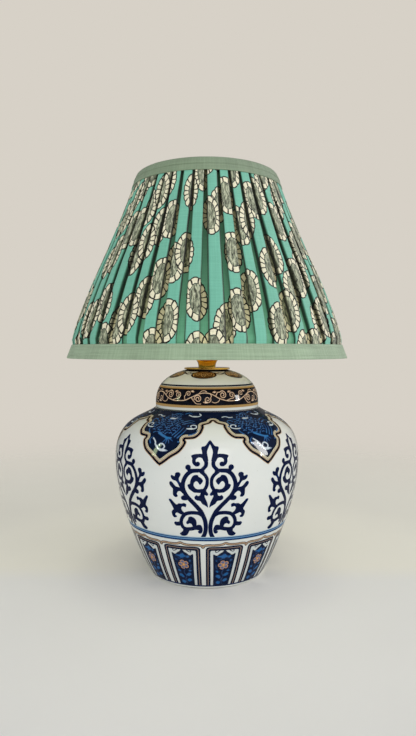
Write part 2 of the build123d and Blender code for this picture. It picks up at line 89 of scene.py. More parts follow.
# %% Wiring helper
class Wiring:
    """Adds nodes to one tree. An input is a value, or another node's output to link."""

    def __init__(self, tree):
        self.tree = tree

    def feed(self, socket, value):
        if isinstance(value, bpy.types.NodeSocket):
            self.tree.links.new(value, socket)
        elif value is not None:
            socket.default_value = value

    def add(self, kind, *inputs, named=None, output=0, **settings):
        made = self.tree.nodes.new(kind)
        for setting, value in settings.items():
            setattr(made, setting, value)
        for socket, value in zip(made.inputs, inputs):
            self.feed(socket, value)
        for name, value in (named or {}).items():
            self.feed(made.inputs[name], value)
        return made.outputs[output] if made.outputs else made

    def math(self, operation, a, b=None, c=None):
        return self.add("ShaderNodeMath", a, b, c, operation=operation)

    def plus(self, a, b):
        return self.math("ADD", a, b)

    def minus(self, a, b):
        return self.math("SUBTRACT", a, b)

    def times(self, a, b):
        return self.math("MULTIPLY", a, b)

    def over(self, a, b):
        return self.math("DIVIDE", a, b)

    def times_plus(self, a, b, c):
        return self.math("MULTIPLY_ADD", a, b, c)

    def vector(self, operation, a, b=None, output=0):
        return self.add("ShaderNodeVectorMath", a, b, operation=operation, output=output)

    def scaled(self, vector, factor):
        return self.add("ShaderNodeVectorMath", operation="SCALE", named={0: vector, "Scale": factor})

    def split(self, vector):
        """The x, y and z of a vector."""
        made = self.tree.nodes.new("ShaderNodeSeparateXYZ")
        self.feed(made.inputs[0], vector)
        return made.outputs

    def place(self):
        """The place on the object, in metres."""
        return self.add("ShaderNodeTexCoord", output=3)

    def mix_colour(self, share, a, b, blend="MIX"):
        made = self.tree.nodes.new("ShaderNodeMix")
        made.data_type, made.blend_type = "RGBA", blend
        for index, value in ((0, share), (6, a), (7, b)):
            self.feed(made.inputs[index], value)
        return made.outputs[2]

    def noise(self, place, scale, detail=2.0, roughness=0.5, distortion=0.0, output=0):
        return self.add("ShaderNodeTexNoise", output=output,
                        named={"Vector": place, "Scale": scale, "Detail": detail, "Roughness": roughness,
                               "Distortion": distortion})

    def ramp(self, value, *stops, interpolation="LINEAR"):
        """Colours at positions from 0 to 1, each stop a (position, colour) pair."""
        made = self.tree.nodes.new("ShaderNodeValToRGB")
        made.color_ramp.interpolation = interpolation
        elements = made.color_ramp.elements
        while len(elements) < len(stops):
            elements.new(0.5)
        for element, (position, colour) in zip(elements, stops):
            element.position = position
            element.color = colour
        self.feed(made.inputs[0], value)
        return made.outputs[0]

    def spread(self, value, low, high, to_low=0.0, to_high=1.0, smooth=False):
        """Maps a value's range to another one, clamped at both ends."""
        kind = "SMOOTHSTEP" if smooth else "LINEAR"
        return self.add("ShaderNodeMapRange", value, low, high, to_low, to_high, interpolation_type=kind)

    def bump(self, height):
        """A relief whose height is given in millimetres."""
        return self.add("ShaderNodeBump", named={"Height": height, "Strength": 1.0, "Distance": 1.0 * MM})


def paint(red, green, blue, alpha=1.0):
    """A colour from 0-255 screen values, as the linear values that a node wants."""
    def linear(value):
        share = value / 255
        return share / 12.92 if share <= 0.04045 else ((share + 0.055) / 1.055) ** 2.4
    return (linear(red), linear(green), linear(blue), alpha)


print("wiring ready; pale wall is", [round(value, 2) for value in paint(215, 210, 198)])

# %% [markdown]
# ## Stage and light
# The lamp stands on a pale floor in daylight. A backdrop that goes all round would shut the light out, so
# the wall is the world's own colour. Under the lamp the floor turns to the wall's tone, further out it
# thins out into the wall, and from below it is clear. The world gives the soft light, a little stronger
# from the front and the right. Glaze and metal see a dimmer room than the cloth does, because dark paint
# under a glaze looks dark only if little is mirrored in it. Five lamps help: a tall window far to the
# right and a greenish one to the left, which only show as narrow highlights in the glaze, two broad dim
# panels at the right and in front, and a faint glow from the lining above the lid.

# %% World
WALL_COLOUR, WALL_LOW_COLOUR = paint(215, 209, 199), paint(202, 197, 185)
LIGHT_FROM = Vector((0.34, -0.85, 0.28)).normalized()
SKY_COLOUR = (0.985, 0.99, 0.975, 1.0)
SKY_LOW, SKY_HIGH = 0.60, 1.04
SKY_DIMS = (1.35, 0.45)      # at the horizon and straight overhead
WALL_DARKENS = (0.10, 0.34)  # from here to here below the horizon
ROOM_BRIGHT_TO = Vector((0.80, -0.15, 0.58)).normalized()
ROOM_TURNS = (-0.3, 0.95)    # how much a mirrored direction faces the room's bright side
ROOM_LIGHT = (0.26, 1.0)     # and how bright the room is there


def make_world():
    world = bpy.data.worlds.new("daylight")
    world.use_nodes = True
    world.node_tree.nodes.clear()
    wiring = Wiring(world.node_tree)
    direction = wiring.add("ShaderNodeTexCoord", output=0)
    facing = wiring.vector("DOT_PRODUCT", direction, LIGHT_FROM, output=1)
    strength = wiring.spread(facing, -1.0, 1.0, SKY_LOW, SKY_HIGH, smooth=True)
    up = wiring.split(direction)[2]
    overhead = wiring.spread(up, 0.0, 1.0, *SKY_DIMS)
    light = wiring.add("ShaderNodeBackground", SKY_COLOUR, wiring.times(strength, overhead))
    low = wiring.spread(wiring.times(up, -1.0), *WALL_DARKENS, smooth=True)
    wall = wiring.add("ShaderNodeBackground", wiring.mix_colour(low, WALL_COLOUR, WALL_LOW_COLOUR), 1.0)
    seen = wiring.tree.nodes.new("ShaderNodeLightPath").outputs
    direct = wiring.math("MAXIMUM", seen["Is Camera Ray"], seen["Is Transmission Ray"])
    mixed = wiring.add("ShaderNodeMixShader", direct, light, wall)
    facing = wiring.vector("DOT_PRODUCT", direction, ROOM_BRIGHT_TO, output=1)
    room = wiring.spread(facing, *ROOM_TURNS, *ROOM_LIGHT, smooth=True)
    mirrored_room = wiring.add("ShaderNodeBackground", WALL_COLOUR, room)
    mixed = wiring.add("ShaderNodeMixShader", seen["Is Glossy Ray"], mixed, mirrored_room)
    wiring.add("ShaderNodeOutputWorld", mixed)
    return world


bpy.context.scene.world = make_world()

# %% Lamps
AIM = (0, 0, 0.15)      # a little below the middle of the lamp
WARM_WHITE = (1.0, 0.99, 0.97)


def area_light(name, place, target, size, watts, colour=(1, 1, 1)):
    """A rectangular lamp of a width and a height, turned towards a target."""
    data = bpy.data.lights.new(name, "AREA")
    data.shape, (data.size, data.size_y) = "RECTANGLE", size
    data.energy, data.color = watts, colour
    light = bpy.data.objects.new(name, data)
    light.location = place
    light.rotation_euler = (Vector(target) - Vector(place)).to_track_quat("-Z", "Y").to_euler()
    bpy.context.scene.collection.objects.link(light)
    return light


def around(azimuth, elevation, distance, height=0.12):
    """A place round the lamp: azimuth 0 is the front, growing to the right."""
    a, e = radians(azimuth), radians(elevation)
    return (distance * sin(a) * cos(e), -distance * cos(a) * cos(e), height + distance * sin(e))


window = area_light("window", around(72, 23, 1.7), AIM, size=(0.32, 1.0), watts=125.0, colour=WARM_WHITE)
window.visible_diffuse = False
side_panel = area_light("side_panel", around(58, 24, 2.0), AIM, size=(1.5, 1.5), watts=5.4,
                        colour=WARM_WHITE)
side_panel.visible_glossy = False
garden_window = area_light("garden_window", around(-66, 21, 1.7), AIM, size=(0.16, 0.8), watts=26.0,
                           colour=(0.80, 1.0, 0.60))
garden_window.visible_diffuse = False
area_light("front_panel", around(4, 20, 2.2), AIM, size=(1.8, 1.2), watts=9.0)
under_shade = area_light("under_shade", (0, 0, 0.335), (0, 0, 0), size=(0.07, 0.07), watts=0.093,
                         colour=(0.98, 1.0, 0.74))
under_shade.visible_camera = under_shade.visible_glossy = under_shade.visible_transmission = False
print(len(bpy.data.lights), "lamps and the world")

# %% Floor
FLOOR_R = 1.6
FLOOR_SOLID_R, FLOOR_GONE_R = 0.30, 0.85
FLOOR_COLOUR, SWEEP_COLOUR = paint(238, 237, 234), paint(243, 240, 229)
FLOOR_STAIN = (0.55, 0.53, 0.5, 1)
SWEEP = (-0.040, 0.005)      # where the floor's colour turns to the backdrop's, by depth


def make_floor():
    corners = 96
    turns = [2 * pi * i / corners for i in range(corners)]
    mesh = bpy.data.meshes.new("floor")
    mesh.from_pydata([(FLOOR_R * cos(turn), FLOOR_R * sin(turn), 0) for turn in turns], [], [range(corners)])
    floor = bpy.data.objects.new("floor", mesh)
    bpy.context.scene.collection.objects.link(floor)
    material = bpy.data.materials.new("pale_floor")
    material.use_nodes = True
    wiring = Wiring(material.node_tree)
    wiring.tree.nodes.clear()
    place = wiring.place()
    depth = wiring.split(place)[1]
    colour = wiring.mix_colour(wiring.spread(depth, *SWEEP, smooth=True), FLOOR_COLOUR, SWEEP_COLOUR)
    stain = wiring.spread(wiring.noise(place, 9.0, 4.0), 0.3, 0.7, 0.0, 0.05)
    colour = wiring.mix_colour(stain, colour, FLOOR_STAIN)
    surface = wiring.add("ShaderNodeBsdfPrincipled",
                         named={"Base Color": colour, "Roughness": 0.8, "Specular IOR Level": 0.0})
    distance = wiring.vector("LENGTH", place, output=1)
    thin = wiring.spread(distance, FLOOR_SOLID_R, FLOOR_GONE_R, smooth=True)
    from_below = wiring.tree.nodes.new("ShaderNodeNewGeometry").outputs["Backfacing"]
    thin = wiring.math("MAXIMUM", thin, from_below)
    clear = wiring.add("ShaderNodeBsdfTransparent")
    wiring.add("ShaderNodeOutputMaterial", wiring.add("ShaderNodeMixShader", thin, surface, clear))
    mesh.materials.append(material)


make_floor()
print("floor thins out from", FLOOR_SOLID_R, "to", FLOOR_GONE_R, "m")

# %% [markdown]
# ## Finishes that several materials share
# Real surfaces differ in small ways that come back on many pieces: a glaze ripples, cloth has threads,
# metal is brushed and tarnished, moulded and rough surfaces have grain. Each of these is one node group
# with named inputs, placed in every material that needs it with its own values. The shader itself stays in
# the material, and so do values that are the same all over, such as the coat.

# %% Group and material makers
def effect(name, inputs, outputs):
    """An empty node group with named sockets, its wiring, its inputs and its outputs."""
    group = bpy.data.node_groups.new(name, "ShaderNodeTree")
    for title, kind, value in inputs:
        socket = group.interface.new_socket(title, in_out="INPUT", socket_type="NodeSocket" + kind)
        if value is not None:
            socket.default_value = value
    for title, kind in outputs:
        group.interface.new_socket(title, in_out="OUTPUT", socket_type="NodeSocket" + kind)
    given = group.nodes.new("NodeGroupInput").outputs
    result = group.nodes.new("NodeGroupOutput").inputs
    return group, Wiring(group), given, result


def place_group(wiring, group, **values):
    """Puts a node group in a material and returns its outputs."""
    made = wiring.tree.nodes.new("ShaderNodeGroup")
    made.node_tree = group
    for title, value in values.items():
        wiring.feed(made.inputs[title.replace("_", " ")], value)
    return made.outputs


def new_material(name):
    """An empty material with its wiring and its shader."""
    material = bpy.data.materials.new(name)
    material.use_nodes = True
    material.node_tree.nodes.clear()
    wiring = Wiring(material.node_tree)
    shader = wiring.tree.nodes.new("ShaderNodeBsdfPrincipled")
    wiring.add("ShaderNodeOutputMaterial", shader.outputs[0])
    return material, wiring, shader.inputs


def dress(wiring, sockets, outputs, **constants):
    """Feeds a group's colour, roughness and normal to the shader, and sets its constant values."""
    wiring.feed(sockets["Base Color"], outputs["Colour"])
    wiring.feed(sockets["Roughness"], outputs["Roughness"])
    wiring.feed(sockets["Normal"], outputs["Normal"])
    for title, value in constants.items():
        sockets[title.replace("_", " ")].default_value = value


SURFACE_OUTPUTS = (("Colour", "Color"), ("Roughness", "Float"), ("Normal", "Vector"))

# %% Glaze: clouded colour, specks and a slow ripple
def make_glaze():
    group, wiring, given, result = effect(
        "glaze", (("Colour", "Color", None), ("Cloud", "Float", 0.06), ("Specks", "Float", 0.3),
                  ("Ripple", "Float", 0.02), ("Smooth", "Float", 0.05)), SURFACE_OUTPUTS)
    place = wiring.place()
    cloud = wiring.spread(wiring.noise(place, 22.0, 3.0), 0.3, 0.7)
    cool = wiring.mix_colour(1.0, given["Colour"], (0.88, 0.95, 1.0, 1), "MULTIPLY")
    tinted = wiring.mix_colour(wiring.times(cloud, given["Cloud"]), given["Colour"], cool)
    speck = wiring.spread(wiring.noise(place, 780.0, 1.0), 0.76, 0.80)
    tinted = wiring.mix_colour(wiring.times(speck, given["Specks"]), tinted, (0.16, 0.13, 0.10, 1))
    slow = wiring.noise(place, 70.0, 1.5)
    fine = wiring.times(wiring.noise(place, 900.0, 1.0), 0.02)
    height = wiring.times(wiring.plus(slow, fine), given["Ripple"])
    rough = wiring.plus(given["Smooth"], wiring.times(cloud, 0.03))
    wiring.feed(result["Colour"], tinted)
    wiring.feed(result["Roughness"], rough)
    wiring.feed(result["Normal"], wiring.bump(height))
    return group


glaze = make_glaze()

# %% Weave: two sets of threads, slubs and faded patches
def make_weave():
    group, wiring, given, result = effect(
        "weave", (("Cloth", "Vector", None), ("Colour", "Color", None), ("Pitch", "Float", 0.4 * MM),
                  ("Slub", "Float", 0.2), ("Fade", "Float", 0.1), ("Relief", "Float", 0.1)), SURFACE_OUTPUTS)
    across, along, _ = wiring.split(given["Cloth"])
    turn = wiring.over(pi, given["Pitch"])
    warp = wiring.math("SINE", wiring.times(across, turn))
    weft = wiring.math("SINE", wiring.times(along, turn))
    crossing = wiring.times(warp, weft)
    crowns = wiring.plus(wiring.math("ABSOLUTE", warp), wiring.math("ABSOLUTE", weft))
    height = wiring.times_plus(crossing, 0.6, crowns)
    weft_place = wiring.vector("MULTIPLY", given["Cloth"], (24.0, 900.0, 1.0))
    warp_place = wiring.vector("MULTIPLY", given["Cloth"], (900.0, 24.0, 1.0))
    slubs = wiring.plus(wiring.noise(weft_place, 1.0, 2.0), wiring.noise(warp_place, 1.0, 2.0))
    streak = wiring.spread(slubs, 0.75, 1.25, -1.0, 1.0)
    fade = wiring.spread(wiring.noise(given["Cloth"], 42.0, 4.0), 0.3, 0.7, -1.0, 1.0)
    shade = wiring.times(streak, given["Slub"])
    shade = wiring.times_plus(fade, given["Fade"], shade)
    # Painted shade: the colour is a little darker where the threads dip between their crowns.
    shade = wiring.times_plus(wiring.minus(height, 1.0), 0.07, shade)
    bright = wiring.plus(1.0, shade)
    wiring.feed(result["Colour"], wiring.scaled(given["Colour"], bright))
    wiring.feed(result["Roughness"], wiring.spread(streak, -1.0, 1.0, 0.92, 0.78))
    relief = wiring.times(wiring.times_plus(streak, 0.8, height), given["Relief"])
    wiring.feed(result["Normal"], wiring.bump(relief))
    return group


weave = make_weave()

# %% Metal: fine brushing, tarnish and handling marks
def make_metal_finish():
    group, wiring, given, result = effect(
        "metal_finish", (("Colour", "Color", None), ("Dull", "Color", None), ("Tarnish", "Float", 0.2),
                         ("Brushing", "Float", 0.3), ("Smooth", "Float", 0.12)), SURFACE_OUTPUTS)
    place = wiring.place()
    patches = wiring.spread(wiring.noise(place, 120.0, 5.0, 0.6), 0.42, 0.72)
    rings = wiring.vector("MULTIPLY", place, (60.0, 60.0, 5200.0))
    brushed = wiring.noise(rings, 1.0, 3.0, 0.7)
    marks = wiring.spread(wiring.noise(place, 1500.0, 2.0, 0.8), 0.62, 0.75)
    dull = wiring.times(patches, given["Tarnish"])
    wiring.feed(result["Colour"], wiring.mix_colour(dull, given["Colour"], given["Dull"]))
    rough = wiring.times_plus(dull, 0.35, given["Smooth"])
    rough = wiring.times_plus(marks, 0.10, rough)
    rough = wiring.times_plus(brushed, wiring.times(given["Brushing"], 0.12), rough)
    wiring.feed(result["Roughness"], rough)
    height = wiring.times(brushed, wiring.times(given["Brushing"], 0.02))
    wiring.feed(result["Normal"], wiring.bump(height))
    return group


metal_finish = make_metal_finish()

# %% Grain: moulded, powder-coated, fired or felted surfaces
def make_grain():
    group, wiring, given, result = effect(
        "grain", (("Colour", "Color", None), ("Dust", "Color", None), ("Size", "Float", 900.0),
                  ("Relief", "Float", 0.03), ("Wear", "Float", 0.2), ("Rough", "Float", 0.5)),
        SURFACE_OUTPUTS)
    place = wiring.place()
    pits = wiring.noise(place, given["Size"], 3.0, 0.7)
    patches = wiring.spread(wiring.noise(place, 60.0, 5.0, 0.65), 0.40, 0.75)
    worn = wiring.times(patches, given["Wear"])
    worn = wiring.times(worn, wiring.plus(0.5, pits))
    wiring.feed(result["Colour"], wiring.mix_colour(worn, given["Colour"], given["Dust"]))
    wiring.feed(result["Roughness"], wiring.times_plus(worn, 0.3, given["Rough"]))
    wiring.feed(result["Normal"], wiring.bump(wiring.times(pits, given["Relief"])))
    return group


grain = make_grain()
print("shared finishes:", [group.name for group in (glaze, weave, metal_finish, grain)])

# %% [markdown]
# ## Materials of the hard pieces
# The hard pieces are porcelain, brass, steel, plastic, rubber, coated wire and glass, and the record names
# a material slot for every solid. One function per kind of finish makes a material from a few values, and
# tables of those values, one line per slot, stay easy to read and to tune.

# %% Porcelain
PORCELAIN_WHITE = (0.658, 0.674, 0.650, 1)
GLAZE_COAT = {"Coat_Weight": 0.6, "Coat_Roughness": 0.02, "Coat_IOR": 1.5}


def porcelain(name, specks):
    material, wiring, sockets = new_material(name)
    outputs = place_group(wiring, glaze, Colour=PORCELAIN_WHITE, Cloud=0.35, Specks=specks, Ripple=0.02,
                          Smooth=0.06)
    dress(wiring, sockets, outputs, **GLAZE_COAT)
    return material


# %% Metals
def metal(name, colour, dull, tarnish, brushing, smooth):
    material, wiring, sockets = new_material(name)
    outputs = place_group(wiring, metal_finish, Colour=colour, Dull=dull, Tarnish=tarnish,
                          Brushing=brushing, Smooth=smooth)
    dress(wiring, sockets, outputs, Metallic=1.0)
    return material


# %% Plastics, rubber, ceramic, paint and felt
def grained(name, colour, dust, size, relief, wear, rough, sheen=0.0):
    material, wiring, sockets = new_material(name)
    outputs = place_group(wiring, grain, Colour=colour, Dust=dust, Size=size, Relief=relief, Wear=wear,
                          Rough=rough)
    dress(wiring, sockets, outputs, Sheen_Weight=sheen)
    return material


# %% Glass
def glass(name, colour, rough):
    material, wiring, sockets = new_material(name)
    place = wiring.place()
    smear = wiring.spread(wiring.noise(place, 90.0, 4.0), 0.45, 0.75, rough, rough + 0.08)
    wiring.feed(sockets["Roughness"], smear)
    wiring.feed(sockets["Base Color"], wiring.mix_colour(smear, colour, (0.9, 0.88, 0.84, 1)))
    sockets["Transmission Weight"].default_value = 1.0
    sockets["IOR"].default_value = 1.47
    return material


# %% One material per slot
BRASS, BRASS_DULL = (0.82, 0.52, 0.115, 1), (0.45, 0.24, 0.05, 1)
STEEL, STEEL_DULL = (0.56, 0.56, 0.57, 1), (0.30, 0.29, 0.27, 1)
DUST = (0.35, 0.33, 0.30, 1)

# colour, colour of the dust on it, fineness of the grain, relief, wear, roughness, and sheen if it has one
GRAINED = {
    "felt": ((0.02, 0.06, 0.045, 1), DUST, 2600.0, 0.5, 0.35, 0.95, 0.4),
    "black_rubber": ((0.012, 0.012, 0.013, 1), DUST, 1400.0, 0.05, 0.25, 0.62),
    "white_insulator": ((0.72, 0.70, 0.64, 1), DUST, 700.0, 0.08, 0.25, 0.55),
    "black_insulator": ((0.012, 0.011, 0.011, 1), DUST, 900.0, 0.03, 0.2, 0.38),
    "switch_plastic": ((0.010, 0.010, 0.011, 1), DUST, 1100.0, 0.01, 0.12, 0.16),
    "clamp_plastic": ((0.72, 0.71, 0.67, 1), DUST, 900.0, 0.02, 0.15, 0.35),
    "white_wire": ((0.74, 0.74, 0.71, 1), DUST, 1600.0, 0.04, 0.2, 0.42),
    "bulb_black_glass": ((0.008, 0.008, 0.010, 1), DUST, 500.0, 0.02, 0.1, 0.10),
    "filament": ((0.85, 0.55, 0.08, 1), (0.6, 0.35, 0.05, 1), 1800.0, 0.05, 0.4, 0.55),
}
# colour, colour of the tarnish, tarnish, brushing, roughness
METALS = {
    "polished_brass": (BRASS, BRASS_DULL, 0.25, 0.15, 0.045),
    "steel": (STEEL, STEEL_DULL, 0.35, 0.8, 0.28),
    "contact_brass": ((0.72, 0.50, 0.22, 1), BRASS_DULL, 0.5, 0.5, 0.22),
    "bulb_metal": ((0.70, 0.69, 0.66, 1), STEEL_DULL, 0.2, 0.6, 0.16),
}

slot_materials = {name: grained(name, *values) for name, values in GRAINED.items()}
slot_materials.update({name: metal(name, *values) for name, values in METALS.items()})
slot_materials["jar_porcelain"] = porcelain("jar_porcelain", specks=0.25)
slot_materials["lid_porcelain"] = porcelain("lid_porcelain", specks=0.1)
slot_materials["bulb_glass"] = glass("bulb_glass", (1.0, 0.99, 0.96, 1), 0.0)
node_slots = {part["node"]: part["material_slot"] for part in frame["record"]["subparts"]}
for node, slot_name in node_slots.items():
    if slot_name in slot_materials:
        nodes[node].data.materials.clear()
        nodes[node].data.materials.append(slot_materials[slot_name])
print(len(slot_materials), "materials on", len(node_slots), "solids")

# %% [markdown]
# ## The gathered shade
# The frame holds the shade's cloth as one stiff shell with the main gathers. The real cover is a long
# strip of cotton, drawn up into 48 gathers that are shallow at the wide edge and deep and tight at the
# narrow one, and no two are alike. The cone comes from the two bindings of the frame, and the depths of
# the cloths from its cover and its lining.

# %% The cone
(_, _, LOW_Z), (LOW_R, _, _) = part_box("bottom_trim")
(_, _, BINDING_Z), (BINDING_R, _, TOP_Z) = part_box("top_trim")
TAPER = (LOW_R - BINDING_R) / (BINDING_Z - LOW_Z)
STEEP = hypot(1.0, TAPER)


def cone_r(z, depth=0.0):
    """Radius at a height, at a depth square to the shade's outer face."""
    return LOW_R - TAPER * (z - LOW_Z) - depth * STEEP


def cone_depth(node):
    """How deep a layer's lower edge lies under the outer face."""
    low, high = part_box(node)
    return (cone_r(low[2]) - high[0]) / STEEP


(_, _, COVER_LOW), (_, _, COVER_TOP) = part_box("shade_cover")
COVER_DEPTH, LINING_DEPTH = cone_depth("shade_cover"), cone_depth("shade_lining")
COVER_SLANT = (COVER_TOP - COVER_LOW) * STEEP
print(f"cover lies {COVER_DEPTH / MM:.2f} mm deep, lining {LINING_DEPTH / MM:.2f} mm;",
      f"slant {COVER_SLANT / MM:.0f} mm")


# %% Shape of one gather
# degrees from crest to crest, over a third of the shade
RIB_STEPS = (6.5, 8.0, 5.8, 6.7, 8.3, 7.5, 8.9, 7.8, 7.7, 7.3, 9.7, 8.3, 9.0, 6.2, 6.4, 5.9)
FIRST_RIB = -168.0          # degrees, where the cloth's seam is, at the back
POINTS_PER_RIB = 20
CREST_FLATNESS = 3.0        # how broad the crests and the folds are, against the slopes between them
LOWER_GATHER = {"depth": 1.9 * MM, "overhang": 0.85, "crest": 0.35, "lean": 0.12}
UPPER_GATHER = {"depth": 4.1 * MM, "overhang": 1.15, "crest": 0.95, "lean": 0.18}
SWELL = 2.2 * MM            # how much deeper the folds are in the middle
CLOTH_WIDTH = 950 * MM      # the strip of cotton before it is gathered


def gather(share, overhang, crest, lean):
    """From one crest to the next: how far along, and how high, 1 on a crest and 0 in the fold."""
    turn = 2 * pi * share
    height = 0.5 + 0.5 * np.tanh(CREST_FLATNESS * np.cos(turn)) / np.tanh(CREST_FLATNESS)
    along = share + overhang / (4 * pi) * np.sin(2 * turn) + crest / (2 * pi) * np.sin(turn)
    return along + lean * (height - 1.0), height


def gathered_edge(z, shape, chance):
    """Points of one edge of the cloth, all round, with their heights on the gathers."""
    points, heights = [], []
    start = radians(FIRST_RIB)
    for step in RIB_STEPS * 3:
        step = radians(step)
        share = np.linspace(0, 1, POINTS_PER_RIB, endpoint=False)
        wobble = chance.uniform(-1, 1, 3)
        along, height = gather(share, shape["overhang"], shape["crest"] + 0.15 * wobble[0],
                               shape["lean"] * wobble[1])
        depth = shape["depth"] * (0.92 + 0.08 * wobble[2])
        angle = start + along * step
        radius = cone_r(z, COVER_DEPTH + depth * (1.0 - height))
        points.append(np.column_stack([radius * np.sin(angle), -radius * np.cos(angle),
                                       np.full_like(angle, z)]))
        heights.append(height)
        start += step
    points, heights = np.vstack(points), np.concatenate(heights)
    return np.vstack([points, points[:1]]), np.append(heights, heights[0])


def cloth_along(edge, widths):
    """Where each point of an edge lies in the flat cloth: every gather takes up its own width of it."""
    places, start = [], 0.0
    for index, width in enumerate(widths):
        first = index * POINTS_PER_RIB
        steps = np.linalg.norm(np.diff(edge[first:first + POINTS_PER_RIB + 1], axis=0), axis=1)
        places.append(start + width * np.concatenate([[0.0], np.cumsum(steps)[:-1]]) / steps.sum())
        start += width
    return np.append(np.concatenate(places), start)


chance = np.random.default_rng(48)
lower_edge, gather_height = gathered_edge(COVER_LOW, LOWER_GATHER, chance)
upper_edge, _ = gathered_edge(COVER_TOP, UPPER_GATHER, chance)
gather_widths = [CLOTH_WIDTH * step / 360 for step in RIB_STEPS * 3]
lower_cloth, upper_cloth = cloth_along(lower_edge, gather_widths), cloth_along(upper_edge, gather_widths)
edge_lengths = [np.linalg.norm(np.diff(edge, axis=0), axis=1).sum() for edge in (lower_edge, upper_edge)]
print("cloth and what lies along the lower and the upper edge, mm:",
      [round(length / MM) for length in (CLOTH_WIDTH, *edge_lengths)])

# %% [markdown]
# A cloth simulation could draw the strip up, but it would settle anew after every change of a value. So a
# Geometry Nodes tree lofts the cloth between its two edges, and every gather stays where it is put. The
# tree makes a plain grid and looks up, for each of its points, the place on the lower and the upper edge.
# A curve makes the cloth belly out above the binding, and the middle of each gather swells. The same tree
# would make any other gathered cover.

# %% Start and end of a Geometry Nodes tree
def node_tree(name, inputs):
    """An empty Geometry Nodes tree with named inputs, its wiring, its inputs and its output socket."""
    tree = bpy.data.node_groups.new(name, "GeometryNodeTree")
    for title, kind, value in inputs:
        socket = tree.interface.new_socket(title, in_out="INPUT", socket_type="NodeSocket" + kind)
        if value is not None:
            socket.default_value = value
    tree.interface.new_socket("Geometry", in_out="OUTPUT", socket_type="NodeSocketGeometry")
    given = tree.nodes.new("NodeGroupInput").outputs
    result = tree.nodes.new("NodeGroupOutput").inputs[0]
    return tree, Wiring(tree), given, result


def end_tree(wiring, geometry, given, result):
    """Ends a tree: smooth faces, real ones in place of instances, and the given material."""
    smooth = wiring.add("GeometryNodeSetShadeSmooth", geometry)
    whole = wiring.add("GeometryNodeRealizeInstances", smooth)
    wiring.feed(result, wiring.add("GeometryNodeSetMaterial", whole, named={"Material": given["Material"]}))


# %% Gathered cloth in Geometry Nodes
def float_curve(wiring, value, points):
    """A curve through (x, y) points; the first two are its ends."""
    made = wiring.tree.nodes.new("ShaderNodeFloatCurve")
    curve = made.mapping.curves[0]
    for index, (x, y) in enumerate(points):
        if index < 2:
            curve.points[index].location = (x, y)
        else:
            curve.points.new(x, y)
    made.mapping.update()
    wiring.feed(made.inputs[0], 1.0)
    wiring.feed(made.inputs[1], value)
    return made.outputs[0]


BELLY_CURVE = ((0, 0), (1, 0), (0.055, 0), (0.08, 0.45), (0.13, 0.75), (0.2, 0.95), (0.3, 1.0), (0.42, 0.85),
               (0.57, 0.45), (0.663, 0.27), (0.8, 0.1), (0.93, 0.08))
MIDDLE_CURVE = ((0, 0), (1, 0), (0.06, 0.1), (0.13, 0.7), (0.25, 1.0), (0.45, 0.9), (0.7, 0.4), (0.9, 0.15))


def make_gathered_cloth():
    tree, wiring, given, result = node_tree("gathered_cloth", (
        ("Edge", "Geometry", None), ("Columns", "Int", 100), ("Rows", "Int", 40), ("Slant", "Float", 0.17),
        ("Belly", "Float", 4 * MM), ("Swell", "Float", 1 * MM), ("Waver", "Float", 0.5 * MM),
        ("Material", "Material", None)))
    grid = wiring.add("GeometryNodeMeshGrid", 1.0, 1.0, given["Columns"], given["Rows"])
    index = wiring.add("GeometryNodeInputIndex")
    column = wiring.math("FLOOR", wiring.over(index, given["Rows"]))
    row = wiring.minus(index, wiring.times(column, given["Rows"]))
    share = wiring.over(row, wiring.minus(given["Rows"], 1.0))

    def of_edge(name, kind):
        if name == "position":
            value = wiring.add("GeometryNodeInputPosition")
        else:
            value = wiring.add("GeometryNodeInputNamedAttribute", name, data_type=kind)
        sample = wiring.tree.nodes.new("GeometryNodeSampleIndex")
        sample.data_type = kind
        wiring.feed(sample.inputs["Geometry"], given["Edge"])
        wiring.feed(sample.inputs["Value"], value)
        wiring.feed(sample.inputs["Index"], column)
        return sample.outputs[0]

    lower, upper = of_edge("position", "FLOAT_VECTOR"), of_edge("upper", "FLOAT_VECTOR")
    height = of_edge("height", "FLOAT")
    cloth, cloth_above = of_edge("cloth", "FLOAT"), of_edge("cloth above", "FLOAT")
    cloth = wiring.times_plus(wiring.minus(cloth_above, cloth), share, cloth)
    rise = wiring.scaled(wiring.vector("SUBTRACT", upper, lower), share)
    place = wiring.vector("ADD", lower, rise)
    outward = wiring.vector("NORMALIZE", wiring.vector("MULTIPLY", place, (1.0, 1.0, 0.0)))
    middle = float_curve(wiring, share, MIDDLE_CURVE)
    belly = wiring.times(float_curve(wiring, share, BELLY_CURVE), given["Belly"])
    swell = wiring.times(wiring.minus(height, 1.0), given["Swell"])
    out = wiring.times_plus(swell, middle, belly)
    place = wiring.vector("ADD", place, wiring.scaled(outward, out))
    field = wiring.vector("MULTIPLY", place, (90.0, 90.0, 26.0))
    drift = wiring.vector("SUBTRACT", wiring.noise(field, 1.0, 2.0, output=1), (0.5, 0.5, 0.5))
    waver = wiring.times(middle, given["Waver"])
    place = wiring.vector("ADD", place, wiring.scaled(drift, waver))
    moved = wiring.add("GeometryNodeSetPosition", grid, named={"Position": place})
    across = wiring.add("ShaderNodeCombineXYZ", cloth, wiring.times(share, given["Slant"]), 0.0)
    across = wiring.add("GeometryNodeFieldOnDomain", across, data_type="FLOAT_VECTOR", domain="POINT")
    mapped = wiring.add("GeometryNodeStoreNamedAttribute", moved, data_type="FLOAT2", domain="CORNER",
                        named={"Name": "cloth", "Value": across})
    marked = wiring.add("GeometryNodeStoreNamedAttribute", mapped, data_type="FLOAT", domain="POINT",
                        named={"Name": "height", "Value": height})
    joined = wiring.add("GeometryNodeMergeByDistance", marked, named={"Distance": 0.01 * MM})
    end_tree(wiring, joined, given, result)
    return tree


gathered_cloth = make_gathered_cloth()
print("gathered_cloth:", len(gathered_cloth.nodes), "nodes")

